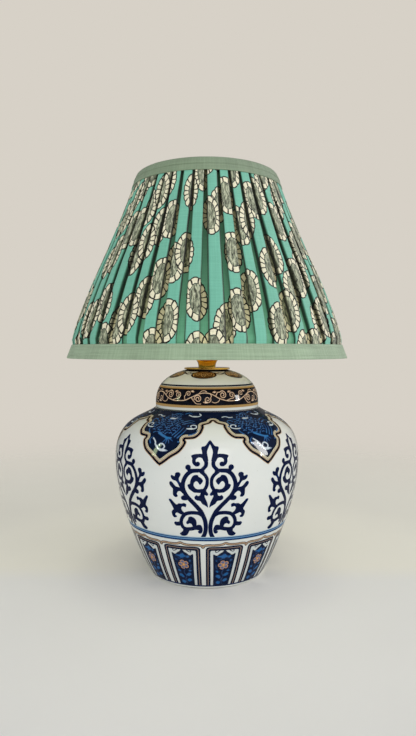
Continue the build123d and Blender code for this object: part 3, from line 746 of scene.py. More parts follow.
# %% Objects from meshes and node trees
def link_mesh(name, points, faces, attributes=()):
    """An object from points and faces, with float or vector attributes on its points."""
    mesh = bpy.data.meshes.new(name)
    mesh.from_pydata([tuple(point) for point in points], [], [tuple(face) for face in faces])
    for title, values in attributes:
        values = np.asarray(values, dtype=float)
        vector = values.ndim == 2
        layer = mesh.attributes.new(title, "FLOAT_VECTOR" if vector else "FLOAT", "POINT")
        layer.data.foreach_set("vector" if vector else "value", values.ravel())
    obj = bpy.data.objects.new(name, mesh)
    bpy.context.scene.collection.objects.link(obj)
    return obj


def grow(obj, tree, **values):
    """Runs a node tree on an object with the given inputs, and keeps the result as its mesh."""
    modifier = obj.modifiers.new("grow", "NODES")
    modifier.node_group = tree
    sockets = {item.name: item.identifier for item in tree.interface.items_tree if item.in_out == "INPUT"}
    for title, value in values.items():
        modifier[sockets[title.replace("_", " ")]] = value
    bpy.context.view_layer.update()
    grown = bpy.data.meshes.new_from_object(obj.evaluated_get(bpy.context.evaluated_depsgraph_get()))
    obj.modifiers.clear()
    obj.data = grown
    return obj


# %% [markdown]
# ## Printed cotton
# The print is a common kind of block print: on a turquoise ground stand upright rings of cream cells with
# dark outlines round a streaky grey middle, in half-drop columns. An image could hold it, but a pattern of
# nodes is sharp from close by and gives each ring its own small shift and tilt. It is printed in the flat
# cloth's coordinates, so the gathers hide and bend it as they do in cloth.

# %% Block print
RING_HALF = (11.0 * MM, 17.6 * MM)          # half the width and half the height of a ring
RING_STRAYS = (4.2 * MM, 14.0 * MM)         # how much a ring's place varies, across and along the cloth
RING_TILT = 0.22
CELL_LINE, OUTLINE = 0.64 * MM, 0.36 * MM   # half widths of the dark lines round a cell and round a ring
PRINT_SOFT = 0.10 * MM                      # how wide the print's edges blur
NOT_PRINTED = 0.14                          # share of the rings that are left out


def make_block_print():
    group, wiring, given, result = effect(
        "block_print", (("Cloth", "Vector", None), ("Ground", "Color", None), ("Cells", "Color", None),
                        ("Line", "Color", None), ("Grey", "Color", None), ("Column", "Float", 19 * MM),
                        ("Repeat", "Float", 58 * MM), ("Cell Count", "Float", 15.0),
                        ("Ring", "Float", 5.5 * MM), ("Block", "Float", 0.0)), (("Colour", "Color"),))
    bend = wiring.vector("SUBTRACT", wiring.noise(given["Cloth"], 230.0, 2.0, output=1), (0.5, 0.5, 0.5))
    place = wiring.vector("ADD", given["Cloth"], wiring.scaled(bend, 1.5 * MM))
    across_cloth, up_cloth, _ = wiring.split(place)
    column_place = wiring.over(across_cloth, given["Column"])
    column = wiring.math("FLOOR", column_place)
    half_drop = wiring.times(wiring.math("FLOORED_MODULO", column, 2.0), 0.5)
    row_place = wiring.plus(wiring.over(up_cloth, given["Repeat"]), half_drop)
    row = wiring.math("FLOOR", row_place)
    lots = wiring.tree.nodes.new("ShaderNodeSeparateColor")
    own = wiring.add("ShaderNodeCombineXYZ", column, row, given["Block"])
    wiring.feed(lots.inputs[0], wiring.add("ShaderNodeTexWhiteNoise", own, output=1))
    first_lot, second_lot, third_lot = lots.outputs

    # how far from the middle of the ring, across and along the cloth
    across = wiring.times(wiring.minus(wiring.minus(column_place, column), 0.5), given["Column"])
    along = wiring.times(wiring.minus(wiring.minus(row_place, row), 0.5), given["Repeat"])
    across = wiring.times_plus(wiring.minus(first_lot, 0.5), RING_STRAYS[0], across)
    along = wiring.times_plus(wiring.minus(second_lot, 0.5), RING_STRAYS[1], along)
    tilt = wiring.times(wiring.minus(third_lot, 0.5), RING_TILT)
    across = wiring.times_plus(along, tilt, across)

    # how far inward from the ring's outline
    wide, tall = RING_HALF
    x, y = wiring.over(across, wide), wiring.over(along, tall)
    radius = wiring.vector("LENGTH", wiring.add("ShaderNodeCombineXYZ", x, y, 0.0), output=1)
    slope = wiring.add("ShaderNodeCombineXYZ", wiring.over(x, wide), wiring.over(y, tall), 0.0)
    slope = wiring.math("MAXIMUM", wiring.vector("LENGTH", slope, output=1), 1.0)
    inward = wiring.over(wiring.times(wiring.minus(1.0, radius), radius), slope)

    # the cells: 1 in the middle of a cell, 0 between two
    turn = wiring.math("ARCTAN2", y, x)
    even = wiring.times_plus(wiring.math("SINE", wiring.times(turn, 2.0)), 0.19, turn)
    even = wiring.times_plus(third_lot, 3.0, even)
    counted = wiring.times(even, wiring.times(given["Cell Count"], 0.5))
    cell = wiring.math("ABSOLUTE", wiring.math("SINE", counted))
    notch = wiring.math("POWER", wiring.minus(1.0, cell), 3.0)
    outer = wiring.minus(inward, wiring.times(notch, 1.1 * MM))
    inner = wiring.minus(wiring.minus(given["Ring"], inward), wiring.times(notch, 0.7 * MM))
    between = wiring.minus(wiring.times(cell, 2.1 * MM), 0.05 * MM)
    edge = wiring.math("MINIMUM", wiring.math("MINIMUM", outer, inner), between)

    in_ring = wiring.math("MINIMUM", inward, wiring.minus(given["Ring"], inward))
    in_ring = wiring.spread(in_ring, -PRINT_SOFT, PRINT_SOFT)
    in_ring = wiring.times(in_ring, wiring.spread(inward, 0.0, PRINT_SOFT))
    in_cell = wiring.spread(edge, CELL_LINE, CELL_LINE + PRINT_SOFT)
    in_middle = wiring.spread(inner, -PRINT_SOFT, 0.0, 1.0, 0.0)
    in_middle = wiring.times(in_middle, wiring.spread(inward, 0.0, 1.0 * MM))
    outline = wiring.spread(wiring.math("ABSOLUTE", outer), OUTLINE, OUTLINE + PRINT_SOFT, 1.0, 0.0)
    streak_place = wiring.vector("MULTIPLY", place, (620.0, 170.0, 1.0))
    streaks = wiring.noise(streak_place, 1.0, 4.0, 0.62, distortion=0.8)
    middle = wiring.ramp(streaks, (0.36, (0.04, 0.04, 0.03, 1)), (0.44, (0.24, 0.25, 0.20, 1)),
                         (0.52, (0.42, 0.44, 0.36, 1)), (0.60, (0.95, 0.93, 0.78, 1)))
    middle = wiring.mix_colour(1.0, middle, given["Grey"], "MULTIPLY")
    worn = wiring.spread(wiring.noise(place, 700.0, 2.0), 0.35, 0.7, 1.0, 0.82)
    colour = wiring.mix_colour(in_ring, given["Ground"], given["Line"])
    colour = wiring.mix_colour(in_cell, colour, wiring.scaled(given["Cells"], worn))
    colour = wiring.mix_colour(in_middle, colour, middle)
    colour = wiring.mix_colour(outline, colour, given["Line"])
    printed = wiring.math("GREATER_THAN", wiring.math("FRACT", wiring.times(second_lot, 7.0)), NOT_PRINTED)
    wiring.feed(result["Colour"], wiring.mix_colour(printed, given["Ground"], colour))
    return group


block_print = make_block_print()
print("block_print:", len(block_print.nodes), "nodes")

# %% Cotton, linen and lining materials
CREAM, TURQUOISE, PRINT_LINE = (0.76, 0.72, 0.53, 1), (0.138, 0.415, 0.308, 1), (0.006, 0.007, 0.005, 1)
PRINT_GREY = (0.50, 0.53, 0.44, 1)
PRINT_COLUMN, PRINT_REPEAT = 28 * MM, 52 * MM
PRINT_COLUMNS = 2 * round(CLOTH_WIDTH / (2 * PRINT_COLUMN))     # even, so the half drop passes the seam
SECOND_BLOCK = (0.5, 0.27)      # its shift, in columns and repeats
# Both bindings are the same linen; the darker sage of the upper one is painted shade.
SAGES = (0.282, 0.378, 0.256, 1), (0.174, 0.236, 0.152, 1)      # at the shade's lower and its upper edge


def make_printed_cotton():
    material, wiring, sockets = new_material("printed_cotton")
    cloth = wiring.add("ShaderNodeUVMap", uv_map="cloth")
    ground, column = TURQUOISE, CLOTH_WIDTH / PRINT_COLUMNS
    for block in (0.0, 1.0):        # the second block is printed between and partly over the first
        shift = (block * SECOND_BLOCK[0] * column, block * SECOND_BLOCK[1] * PRINT_REPEAT, 0.0)
        printed = place_group(wiring, block_print, Cloth=wiring.vector("ADD", cloth, shift), Ground=ground,
                              Cells=CREAM, Line=PRINT_LINE, Grey=PRINT_GREY, Column=column,
                              Repeat=PRINT_REPEAT, Block=block)
        ground = printed["Colour"]
    height = wiring.add("ShaderNodeAttribute", attribute_name="height", output=2)
    # Painted shade: the cloth is darkened on the slopes and in the depths of each gather, and warmed at the
    # bottom of its fold, by the gather's height. The tight gathers higher up get the darker ramp.
    painted_shade_wide_folds = wiring.ramp(height, (0.0, (1.0, 0.98, 0.78, 1)), (0.02, (0.88, 0.86, 0.66, 1)),
                             (0.08, (0.38, 0.37, 0.26, 1)), (0.22, (0.09, 0.09, 0.07, 1)),
                             (0.62, (0.13, 0.14, 0.11, 1)), (0.88, (0.58, 0.59, 0.53, 1)),
                             (0.97, (1, 1, 1, 1)))
    painted_shade_tight_folds = wiring.ramp(height, (0.0, (0.20, 0.19, 0.12, 1)), (0.04, (0.06, 0.06, 0.045, 1)),
                              (0.25, (0.015, 0.015, 0.012, 1)), (0.70, (0.06, 0.07, 0.05, 1)),
                              (0.90, (0.50, 0.52, 0.46, 1)), (0.985, (1, 1, 1, 1)))
    upward = wiring.spread(wiring.split(cloth)[1], 0.0, 0.8 * COVER_SLANT)
    painted_fold_shade = wiring.mix_colour(upward, painted_shade_wide_folds, painted_shade_tight_folds)
    colour = wiring.mix_colour(1.0, ground, painted_fold_shade, "MULTIPLY")
    outputs = place_group(wiring, weave, Cloth=cloth, Colour=colour, Pitch=0.32 * MM, Slub=0.06,
                          Fade=0.05, Relief=0.05)
    dress(wiring, sockets, outputs, Sheen_Weight=0.12, Sheen_Roughness=0.5, Specular_IOR_Level=0.2)
    return material


def sage_shaded_at_top(wiring):
    """The sage green of the linen, darker towards the shade's upper edge as painted shade, lighter where it
    is lower down.
    """
    height = wiring.split(wiring.place())[2]
    return wiring.mix_colour(wiring.spread(height, LOW_Z, TOP_Z), *SAGES)


def plain_cloth(name, colour, pitch, slub, fade, relief, sheen):
    material, wiring, sockets = new_material(name)
    cloth = wiring.add("ShaderNodeUVMap", uv_map="cloth")
    colour = colour(wiring) if callable(colour) else colour
    outputs = place_group(wiring, weave, Cloth=cloth, Colour=colour, Pitch=pitch, Slub=slub, Fade=fade,
                          Relief=relief)
    dress(wiring, sockets, outputs, Sheen_Weight=sheen, Sheen_Roughness=0.5, Specular_IOR_Level=0.2)
    return material


printed_cotton = make_printed_cotton()
sage_linen = plain_cloth("sage_linen", sage_shaded_at_top, pitch=0.36 * MM, slub=0.11, fade=0.08, relief=0.07,
                         sheen=0.12)
lining_cloth = plain_cloth("lining_cloth", (0.80, 0.75, 0.62, 1), pitch=0.30 * MM, slub=0.05, fade=0.05,
                           relief=0.03, sheen=0.05)
print(PRINT_COLUMNS, "columns of print")

# %% Cover
cover_edge = link_mesh("gathered_cover", lower_edge, [],
                       (("upper", upper_edge), ("height", gather_height), ("cloth", lower_cloth),
                        ("cloth above", upper_cloth)))
gathered_cover = grow(cover_edge, gathered_cloth, Columns=len(lower_edge), Rows=44, Slant=COVER_SLANT,
                      Belly=4.0 * MM, Swell=SWELL, Waver=0.9 * MM, Material=printed_cotton)
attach(gathered_cover, "shade")
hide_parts("shade_cover")
print("cover:", len(gathered_cover.data.polygons), "faces")

# %% [markdown]
# ## Bindings, lining and felt
# Each edge of the shade is bound with a strip of linen: its own edges are folded in, and it is folded over
# the edge of the shade. A screw modifier could turn its section round, but here the section, given as depth
# and height in millimetres, is swept row by row, so that each face gets its place in the flat cloth and
# small wrinkles. The lining is a smooth cone with slits for the arms. A felt disc lies under the foot.

# %% Sweep of a cloth strip round the axis
WRINKLES_ROUND, WRINKLES_UP = 70, 420       # how close together the wrinkles are


def swept_strip(name, profile, segments, material, wrinkle, seed, keep=None):
    """A strip of cloth from (radius, z) points, swept round, with its own cloth coordinates."""
    turns = np.linspace(0, 2 * pi, segments, endpoint=False) + pi / segments
    mean_r = sum(radius for radius, _ in profile) / len(profile)
    walked = [0.0]
    for a, b in zip(profile, profile[1:]):
        walked.append(walked[-1] + hypot(b[0] - a[0], b[1] - a[1]))
    points = []
    for turn in turns:
        for radius, z in profile:
            field = Vector((radius * cos(turn) * WRINKLES_ROUND, radius * sin(turn) * WRINKLES_ROUND,
                            z * WRINKLES_UP + seed))
            wave = wrinkle * noise(field) + 0.5 * wrinkle * noise(field * 2.3)
            points.append(((radius + wave) * cos(turn), (radius + wave) * sin(turn), z))
    rows = len(profile)
    faces, places = [], []
    for i in range(segments):
        here, there = i * rows, (i + 1) % segments * rows
        left, right = (j * 2 * pi * mean_r / segments for j in (i, i + 1))
        for k in range(rows - 1):
            if keep and not keep(turns[i] + pi / segments, (profile[k][1] + profile[k + 1][1]) / 2):
                continue
            faces.append((here + k, there + k, there + k + 1, here + k + 1))
            places += [(left, walked[k]), (right, walked[k]), (right, walked[k + 1]), (left, walked[k + 1])]
    strip = link_mesh(name, points, faces)
    strip.data.uv_layers.new(name="cloth").data.foreach_set("uv", np.array(places).ravel())
    strip.data.shade_smooth()
    strip.data.materials.append(material)
    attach(strip, "shade")
    return strip, (2 * pi * mean_r, walked[-1])


# %% Bindings
def binding(name, edge_z, inward, outer_marks, inner_depth, seed):
    """A folded strip over the edge at edge_z; inward is +1 from the lower edge, -1 from the upper one."""
    tall = BINDING_H
    line = [(0.95, tall * 0.55), (0.95, tall - 0.9), (0.75, tall - 0.15), (0.35, tall - 0.05),
            (0.08, tall - 0.35)]
    line += list(outer_marks)
    line += [(0.0, 1.5), (0.12, 0.7), (0.5, 0.15), (1.2, 0.0), (inner_depth * 0.5, 0.05),
             (inner_depth - 1.2, 0.0), (inner_depth - 0.4, 0.2), (inner_depth - 0.05, 0.8),
             (inner_depth, 1.8), (inner_depth, tall * 0.5), (inner_depth, tall - 0.6),
             (inner_depth - 0.35, tall - 0.1), (inner_depth - 0.75, tall - 0.5),
             (inner_depth - 0.75, tall * 0.6)]
    profile = []
    for depth, height in line:
        z = edge_z + inward * height * MM
        profile.append((cone_r(z, depth * MM), z))
    strip, flat = swept_strip(name, profile, segments=300, material=sage_linen, wrinkle=0.16 * MM, seed=seed)
    print(f"{name}: flat {flat[0] / MM:.0f} x {flat[1] / MM:.0f} mm")
    return strip


BINDING_H = (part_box("bottom_trim")[1][2] - LOW_Z) / MM
PAST_LINING = 1.65          # millimetres from the lining to the binding's inner side
INNER_LOWER = LINING_DEPTH / MM + PAST_LINING
INNER_UPPER = INNER_LOWER + (UPPER_GATHER["depth"] - LOWER_GATHER["depth"]) / MM
stitched_fold = ((0.0, 10.2), (0.0, 9.9), (0.22, 9.7), (0.0, 9.5), (0.0, 6.5), (0.0, 3.2), (0.0, 2.7),
                 (0.2, 2.5), (0.0, 2.3))
doubled_fold = ((0.05, 10.4), (0.05, 9.0), (0.05, 7.0), (0.08, 6.35), (0.12, 6.15), (-0.22, 6.0),
                (-0.30, 5.7), (-0.25, 5.0), (-0.2, 3.5))
bottom_binding = binding("bottom_binding", LOW_Z, 1, stitched_fold, INNER_LOWER, seed=0.0)
top_binding = binding("top_binding", TOP_Z, -1, doubled_fold, INNER_UPPER, seed=31.0)
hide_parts("bottom_trim")
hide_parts("top_trim")

# %% Lining
(_, _, ARM_LOW), (_, _, ARM_TOP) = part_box("fitter_arms")
ARM_ANGLES = (90, 210, 330)
ARM_Z = (ARM_LOW + ARM_TOP) / 2
SLIT_H, SLIT_DEGREES = 2.3 * MM, 1.0        # half the height and half the width of the slit for an arm


def lining_face_stays(turn, z):
    """False where an arm passes through the lining."""
    apart = min(abs((degrees(turn) - angle + 180) % 360 - 180) for angle in ARM_ANGLES)
    return apart > SLIT_DEGREES or abs(z - ARM_Z) > SLIT_H


(_, _, LINING_LOW), (_, _, LINING_TOP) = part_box("shade_lining")
# heights between the rows of faces; one row is as high as the slits
lining_rows = [LINING_LOW, 200 * MM, 210 * MM, ARM_Z - SLIT_H, ARM_Z + SLIT_H]
lining_rows += [z * MM for z in range(236, 350, 9)] + [LINING_TOP]


def lining_r(z):
    share = (z - LINING_LOW) / (LINING_TOP - LINING_LOW)
    return cone_r(z, LINING_DEPTH + 0.3 * MM + share * (UPPER_GATHER["depth"] - LOWER_GATHER["depth"]))


lining_profile = [(lining_r(z), z) for z in lining_rows]
smooth_lining, lining_flat = swept_strip("smooth_lining", lining_profile, segments=180,
                                         material=lining_cloth, wrinkle=0.25 * MM, seed=7.0,
                                         keep=lining_face_stays)
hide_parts("shade_lining")

# %% Felt
(_, _, FELT_LOW), (FELT_R, _, FELT_TOP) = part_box("foot_felt")
FELT_WAVES, FELT_WAVER = 9, 0.004       # how close the edge's waves are, and how deep in radii


def make_felt():
    """A disc of felt with a softly rounded, slightly uneven edge."""
    thick = FELT_TOP - FELT_LOW
    line = [(0.5, 0.0), (0.9, 0.0), (0.985, 0.0), (1.0, 0.25), (1.0, 0.75), (0.985, 1.0), (0.9, 1.0),
            (0.5, 1.0)]
    corners, points, faces = 240, [(0, 0, FELT_LOW)], []
    for i in range(corners):
        turn = 2 * pi * i / corners
        for share, height in line:
            wave = noise(Vector((cos(turn) * FELT_WAVES, sin(turn) * FELT_WAVES, height)))
            cut = 1.0 - FELT_WAVER * (0.5 + 0.5 * wave) * (share > 0.95)
            points.append((share * cut * FELT_R * cos(turn), share * cut * FELT_R * sin(turn),
                           FELT_LOW + height * thick))
    points.append((0, 0, FELT_TOP))
    rows = len(line)
    for i in range(corners):
        j = (i + 1) % corners
        for k in range(rows - 1):
            faces.append((1 + i * rows + k, 1 + j * rows + k, 2 + j * rows + k, 2 + i * rows + k))
        faces.append((0, 1 + j * rows, 1 + i * rows))
        faces.append((len(points) - 1, (i + 1) * rows, (j + 1) * rows))
    return link_mesh("felt_disc", points, faces)


felt_disc = make_felt()
felt_disc.data.materials.append(slot_materials["felt"])
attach(felt_disc, "base")
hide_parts("foot_felt")
print("felt disc:", len(felt_disc.data.polygons), "faces")

# %% [markdown]
# ## Painted ornament
# Underglaze painting has no thickness to speak of, but it has crisp hand-drawn edges. So each ornament is
# drawn once on a flat sheet from strokes and blobs, triangulated, and laid on the turned surface, about a
# tenth of a millimetre above it. The surface itself is read from the frame: the outline of a turned solid
# is the row of points on its seam. A node tree then repeats the ornament round the jar.

# %% Outer face of a turned solid
class TurnedSurface:
    """The outer face of a turned solid. Places are an azimuth (0 in front) and a way along its outline."""

    def __init__(self, node, top_z):
        solid, at_point, links = nodes[node], {}, {}
        for vertex in solid.data.vertices:
            point = solid.matrix_world @ vertex.co
            if abs(point.y) < 0.03 * MM and point.x > 0:
                at_point[vertex.index] = (round(point.x, 5), round(point.z, 5))
        for edge in solid.data.edges:
            a, b = (at_point.get(index) for index in edge.vertices)
            if a and b and a != b:
                links.setdefault(a, set()).add(b)
                links.setdefault(b, set()).add(a)
        place = max(links, key=lambda point: (-point[1], point[0]))
        walked = [place]
        while place[1] < top_z - 0.02 * MM:
            place = max((point for point in links[place] if point not in walked), key=lambda point: point[1])
            walked.append(place)
        self.points = np.array(walked)
        steps = np.hypot(*np.diff(self.points, axis=0).T)
        self.s = np.concatenate([[0.0], np.cumsum(steps)])
        self.slopes = np.gradient(self.points, self.s, axis=0)

    def profile(self, s):
        """Radius, height and their slopes at ways along the outline, on a smooth curve through its points."""
        s = np.clip(s, self.s[0], self.s[-1])
        k = np.clip(np.searchsorted(self.s, s, side="right") - 1, 0, len(self.s) - 2)
        gap = (self.s[k + 1] - self.s[k])[:, None]
        t = (s - self.s[k])[:, None] / gap
        across = 3 * t**2 - 2 * t**3
        point = (1 - across) * self.points[k] + across * self.points[k + 1]
        point += gap * ((t**3 - 2 * t**2 + t) * self.slopes[k] + (t**3 - t**2) * self.slopes[k + 1])
        slope = self.slopes[k] * (1 - t) + self.slopes[k + 1] * t
        return point, slope / np.linalg.norm(slope, axis=1)[:, None]

    def place(self, azimuth, s, lift):
        """Points and normals at azimuths in degrees and ways along the outline, lifted off the face."""
        point, slope = self.profile(s)
        out = np.column_stack([slope[:, 1], -slope[:, 0]])
        point = point + out * lift
        turn = np.radians(azimuth)

        def round_axis(pair):
            return np.column_stack([pair[:, 0] * np.sin(turn), -pair[:, 0] * np.cos(turn), pair[:, 1]])
        return round_axis(point), round_axis(out)

    def s_of_z(self, z):
        return np.interp(z, self.points[:, 1], self.s)


jar_face = TurnedSurface("jar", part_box("lid_gasket")[0][2])
lid_face = TurnedSurface("lid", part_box("lid")[1][2])
print("outline points:", len(jar_face.s), "on the jar and", len(lid_face.s), "on the lid")


# %% Curves on a flat sheet
SAMPLE_STEP = 0.9           # millimetres between samples of a curve
SPIRAL_EYE = 0.25           # radius in the middle of a spiral, as a share of its outer one


def smooth_line(points, closed=False):
    """A curve through points, sampled at even steps."""
    points = [Vector(point) for point in points]
    count, samples = len(points), []

    def point_at(j):
        return points[j % count] if closed else points[min(max(j, 0), count - 1)]

    for i in range(count if closed else count - 1):
        a, b, c, d = (point_at(i + j) for j in (-1, 0, 1, 2))
        bend, twist = 2 * a - 5 * b + 4 * c - d, 3 * b - a - 3 * c + d
        pieces = max(1, round((c - b).length / SAMPLE_STEP))
        for k in range(pieces):
            t = k / pieces
            samples.append(0.5 * (2 * b + (c - a) * t + bend * t * t + twist * t**3))
    return samples if closed else samples + [points[-1]]


def spiral(x, y, radius, turns, start):
    """Points of a spiral that winds inward from a start angle; negative turns wind clockwise."""
    steps = max(6, round(abs(turns) * 10))
    points = []
    for i in range(steps + 1):
        r = radius * (1 - (1 - SPIRAL_EYE) * i / steps)
        turn = radians(start) + 2 * pi * turns * i / steps
        points.append((x + r * cos(turn), y + r * sin(turn)))
    return points


def mirrored(points, side=-1):
    """Points turned over to the left, or as they are for a side of 1."""
    return [(x * side, y) for x, y in points]


# %% Drawing on a flat sheet
ROW_STEP = 0.87             # height of a triangle with equal sides


class Drawing:
    """Shapes on a flat sheet in millimetres: x runs round the piece, y up it."""

    def __init__(self, per_degree, in_degrees=False):
        self.per_degree, self.unit = per_degree, per_degree if in_degrees else 1.0
        self.shapes, self.holes, self.inner = [], [], []

    def blob(self, *points, hole=False, smooth=True):
        """A closed shape through points, or a hole in the others."""
        points = [(x * self.unit, y) for x, y in points]
        outline = smooth_line(points, True) if smooth else [Vector(point) for point in points]
        area = sum(a.x * b.y - b.x * a.y for a, b in zip(outline, outline[1:] + outline[:1]))
        (self.holes if hole else self.shapes).append(outline if area > 0 else outline[::-1])

    def disc(self, x, y, radius):
        x *= self.unit
        turns = np.linspace(0, 2 * pi, 15)[:-1]
        self.shapes.append([Vector((x + radius * cos(a), y + radius * sin(a))) for a in turns])
        self.inner.append(Vector((x, y)))

    def stroke(self, width, *points, end_width=None):
        """A brush stroke with round ends, of one width or narrowing to another."""
        line = smooth_line([(x * self.unit, y) for x, y in points])
        last, left, right = len(line) - 1, [], []
        for i, point in enumerate(line):
            along = (line[min(i + 1, last)] - line[max(i - 1, 0)]).normalized()
            half = 0.5 * (width + ((end_width or width) - width) * i / last)
            side = Vector((-along.y, along.x)) * half
            left.append(point + side)
            right.append(point - side)

        def cap(middle, start):
            return [middle + Matrix.Rotation(a, 2) @ (start - middle) for a in np.linspace(0, pi, 7)[1:-1]]
        self.shapes.append(right + cap(line[-1], right[-1]) + left[::-1] + cap(line[0], left[0]))
        self.inner += line

    def mirror(self):
        """Adds the left half of what was drawn on the right."""
        for group in (self.shapes, self.holes):
            group += [[Vector((-point.x, point.y)) for point in outline[::-1]] for outline in group]
        self.inner += [Vector((-point.x, point.y)) for point in self.inner]

    def lean(self, slope, middle):
        """Leans the drawing over sideways, about a place in its height."""
        for outline in self.shapes + self.holes + [self.inner]:
            for point in outline:
                point.x += slope * (point.y - middle)

    def lay(self, name, face, centre, lift, rise, spacing=2.0, ends=None):
        """Lays the drawing on a face round a centre azimuth, some millimetres off it, with each point's
        distance from the drawing's edges. The rise turns heights on the sheet into ways on the face."""
        points, outlines = [], []
        for outline in self.shapes + self.holes:
            outlines.append(list(range(len(points), len(points) + len(outline))))
            points += outline
        low, high = np.min(points, axis=0), np.max(points, axis=0)
        points += self.inner
        for row, y in enumerate(np.arange(low[1], high[1], spacing * ROW_STEP)):
            start = low[0] + spacing * 0.5 * (row % 2)
            points += [Vector((x, y)) for x in np.arange(start, high[0], spacing)]
        flat, _, faces, _, _, sources = delaunay_2d_cdt(points, [], outlines, 0, 1e-4, True)
        solid = len(self.shapes)
        faces = [face for face, source in zip(faces, sources) if source and max(source) < solid]
        used = sorted({index for face in faces for index in face})
        slot_of = {index: i for i, index in enumerate(used)}
        faces = [[slot_of[index] for index in face] for face in faces]
        flat = np.array([flat[index][:] for index in used])
        s = rise(flat[:, 1] * MM)
        places, _ = face.place(centre + flat[:, 0] / self.per_degree, s, lift * MM)
        sides = Counter()
        for corners in faces:
            sides.update(frozenset(pair) for pair in zip(corners, corners[1:] + corners[:1]))
        edges = [tuple(side) for side, count in sides.items() if count == 1]
        if ends:    # beyond these places on the sheet (x, low, high), a border isn't painted as an edge
            inside = (np.abs(flat[:, 0]) < ends[0]) & (flat[:, 1] > ends[1]) & (flat[:, 1] < ends[2])
            edges = [(a, b) for a, b in edges if inside[a] or inside[b]]
        tree = KDTree(len(edges) * 4)
        for a, b in edges:
            for k in range(4):
                tree.insert(Vector(places[a]).lerp(Vector(places[b]), k / 4), 0)
        tree.balance()
        inset = [tree.find(place)[2] for place in places]
        return link_mesh(name, places, faces, (("inset", inset),))


# %% [markdown]
# One node tree makes every ring of repeats: it turns copies of a drawing round the axis. Hand painting
# isn't evenly spaced, so its "Drift" moves what lies to one side a little further round.

# %% Ring of repeats in Geometry Nodes
REPEATS, PANELS = 6, 12     # round the jar and the lid, and round the foot
COLLAR_GAP = 4.75           # azimuth of the gap between two lappets


def make_ring_of_repeats():
    tree, wiring, given, result = node_tree("ring_of_repeats", (
        ("Drawing", "Geometry", None), ("Count", "Int", REPEATS), ("Drift", "Float", 0.0),
        ("Drift Centre", "Float", 0.0), ("Material", "Material", None)))
    points = wiring.add("GeometryNodePoints", named={"Count": given["Count"]})
    index = wiring.add("GeometryNodeInputIndex")
    turn = wiring.over(wiring.times(index, 2 * pi), given["Count"])
    upright = wiring.add("ShaderNodeCombineXYZ", 0.0, 0.0, turn)
    copies = wiring.add("GeometryNodeInstanceOnPoints", points,
                        named={"Instance": given["Drawing"], "Rotation": upright})
    ring = wiring.add("GeometryNodeRealizeInstances", copies)
    place = wiring.add("GeometryNodeInputPosition")
    right, back, _ = wiring.split(place)
    azimuth = wiring.math("ARCTAN2", right, wiring.times(back, -1.0))
    away = wiring.minus(azimuth, given["Drift Centre"])
    drift = wiring.times(wiring.math("SINE", away), given["Drift"])
    turned = wiring.add("ShaderNodeVectorRotate", rotation_type="Z_AXIS",
                        named={"Vector": place, "Angle": drift})
    moved = wiring.add("GeometryNodeSetPosition", ring, named={"Position": turned})
    end_tree(wiring, moved, given, result)
    return tree


ring_of_repeats = make_ring_of_repeats()
print("ring_of_repeats:", len(ring_of_repeats.nodes), "nodes")


# %% Ornaments on their faces
def finish_ornament(obj, face):
    """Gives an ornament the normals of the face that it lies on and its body."""
    places = np.empty(len(obj.data.vertices) * 3)
    obj.data.vertices.foreach_get("co", places)
    places = places.reshape(-1, 3)
    azimuth = np.degrees(np.arctan2(places[:, 0], -places[:, 1]))
    _, normals = face.place(azimuth, face.s_of_z(places[:, 2]), 0.0)
    obj.data.normals_split_custom_set_from_vertices([tuple(normal) for normal in normals])
    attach(obj, "base")
    print(f"{obj.name}: {len(obj.data.polygons)} faces")


def repeat(obj, face, material, count, drift=0.0):
    """Turns an ornament into a ring of them round the axis."""
    grow(obj, ring_of_repeats, Count=count, Drift=radians(drift), Drift_Centre=radians(COLLAR_GAP),
         Material=material)
    finish_ornament(obj, face)


def hoop(name, face, material, low, high, lift, rows=8):
    """A painted band round a piece between two heights, with the distance from its lower edge."""
    s = np.linspace(face.s_of_z(low * MM), face.s_of_z(high * MM), rows)
    segments, points, faces = 288, [], []
    for i in range(segments):
        ring, _ = face.place(np.full(rows, 360 * i / segments), s, lift * MM)
        points += ring.tolist()
        here, there = i * rows, (i + 1) % segments * rows
        faces += [(here + k, there + k, there + k + 1, here + k + 1) for k in range(rows - 1)]
    band = link_mesh(name, points, faces, (("inset", (s - s[0]).tolist() * segments),))
    band.data.shade_smooth()
    band.data.materials.append(material)
    finish_ornament(band, face)


# %% [markdown]
# ## Paints
# A painted motif has an outline and fillings of several tones, one inside the other. Each could be a
# drawing, but every point of an ornament knows how far it lies from the painted edge. So one material
# paints them all, as bands of that distance that waver a little, as brushwork does.

# %% Painted materials
PAINT_COAT = {"Specular_IOR_Level": 0.02, "Coat_Weight": 0.14, "Coat_Roughness": 0.02, "Coat_IOR": 1.3}
THIN_COBALT = (0.10, 0.16, 0.30, 1)


def painted(name, *bands, ragged=0.12, wash=0.25, span=8.0, **finish):
    """Glaze colours by the distance in millimetres from a drawing's edge; each band is (from, colour)."""
    material, wiring, sockets = new_material(name)
    place = wiring.place()
    inset = wiring.add("ShaderNodeAttribute", attribute_name="inset", output=2)
    shaky = wiring.times_plus(wiring.minus(wiring.noise(place, 420.0, 2.0), 0.5), ragged * MM, inset)
    stops = [(start / span, shade) for start, shade in bands]
    colour = wiring.ramp(wiring.over(shaky, span * MM), *stops, interpolation="CONSTANT")
    pooled = wiring.spread(wiring.noise(place, 260.0, 4.0, 0.6), 0.3, 0.75)
    colour = wiring.mix_colour(wiring.times(pooled, wash), colour, THIN_COBALT)
    outputs = place_group(wiring, glaze, Colour=colour, Cloud=0.1, Specks=0.0, Ripple=0.02, Smooth=0.06)
    dress(wiring, sockets, outputs, **{**PAINT_COAT, **finish})
    return material


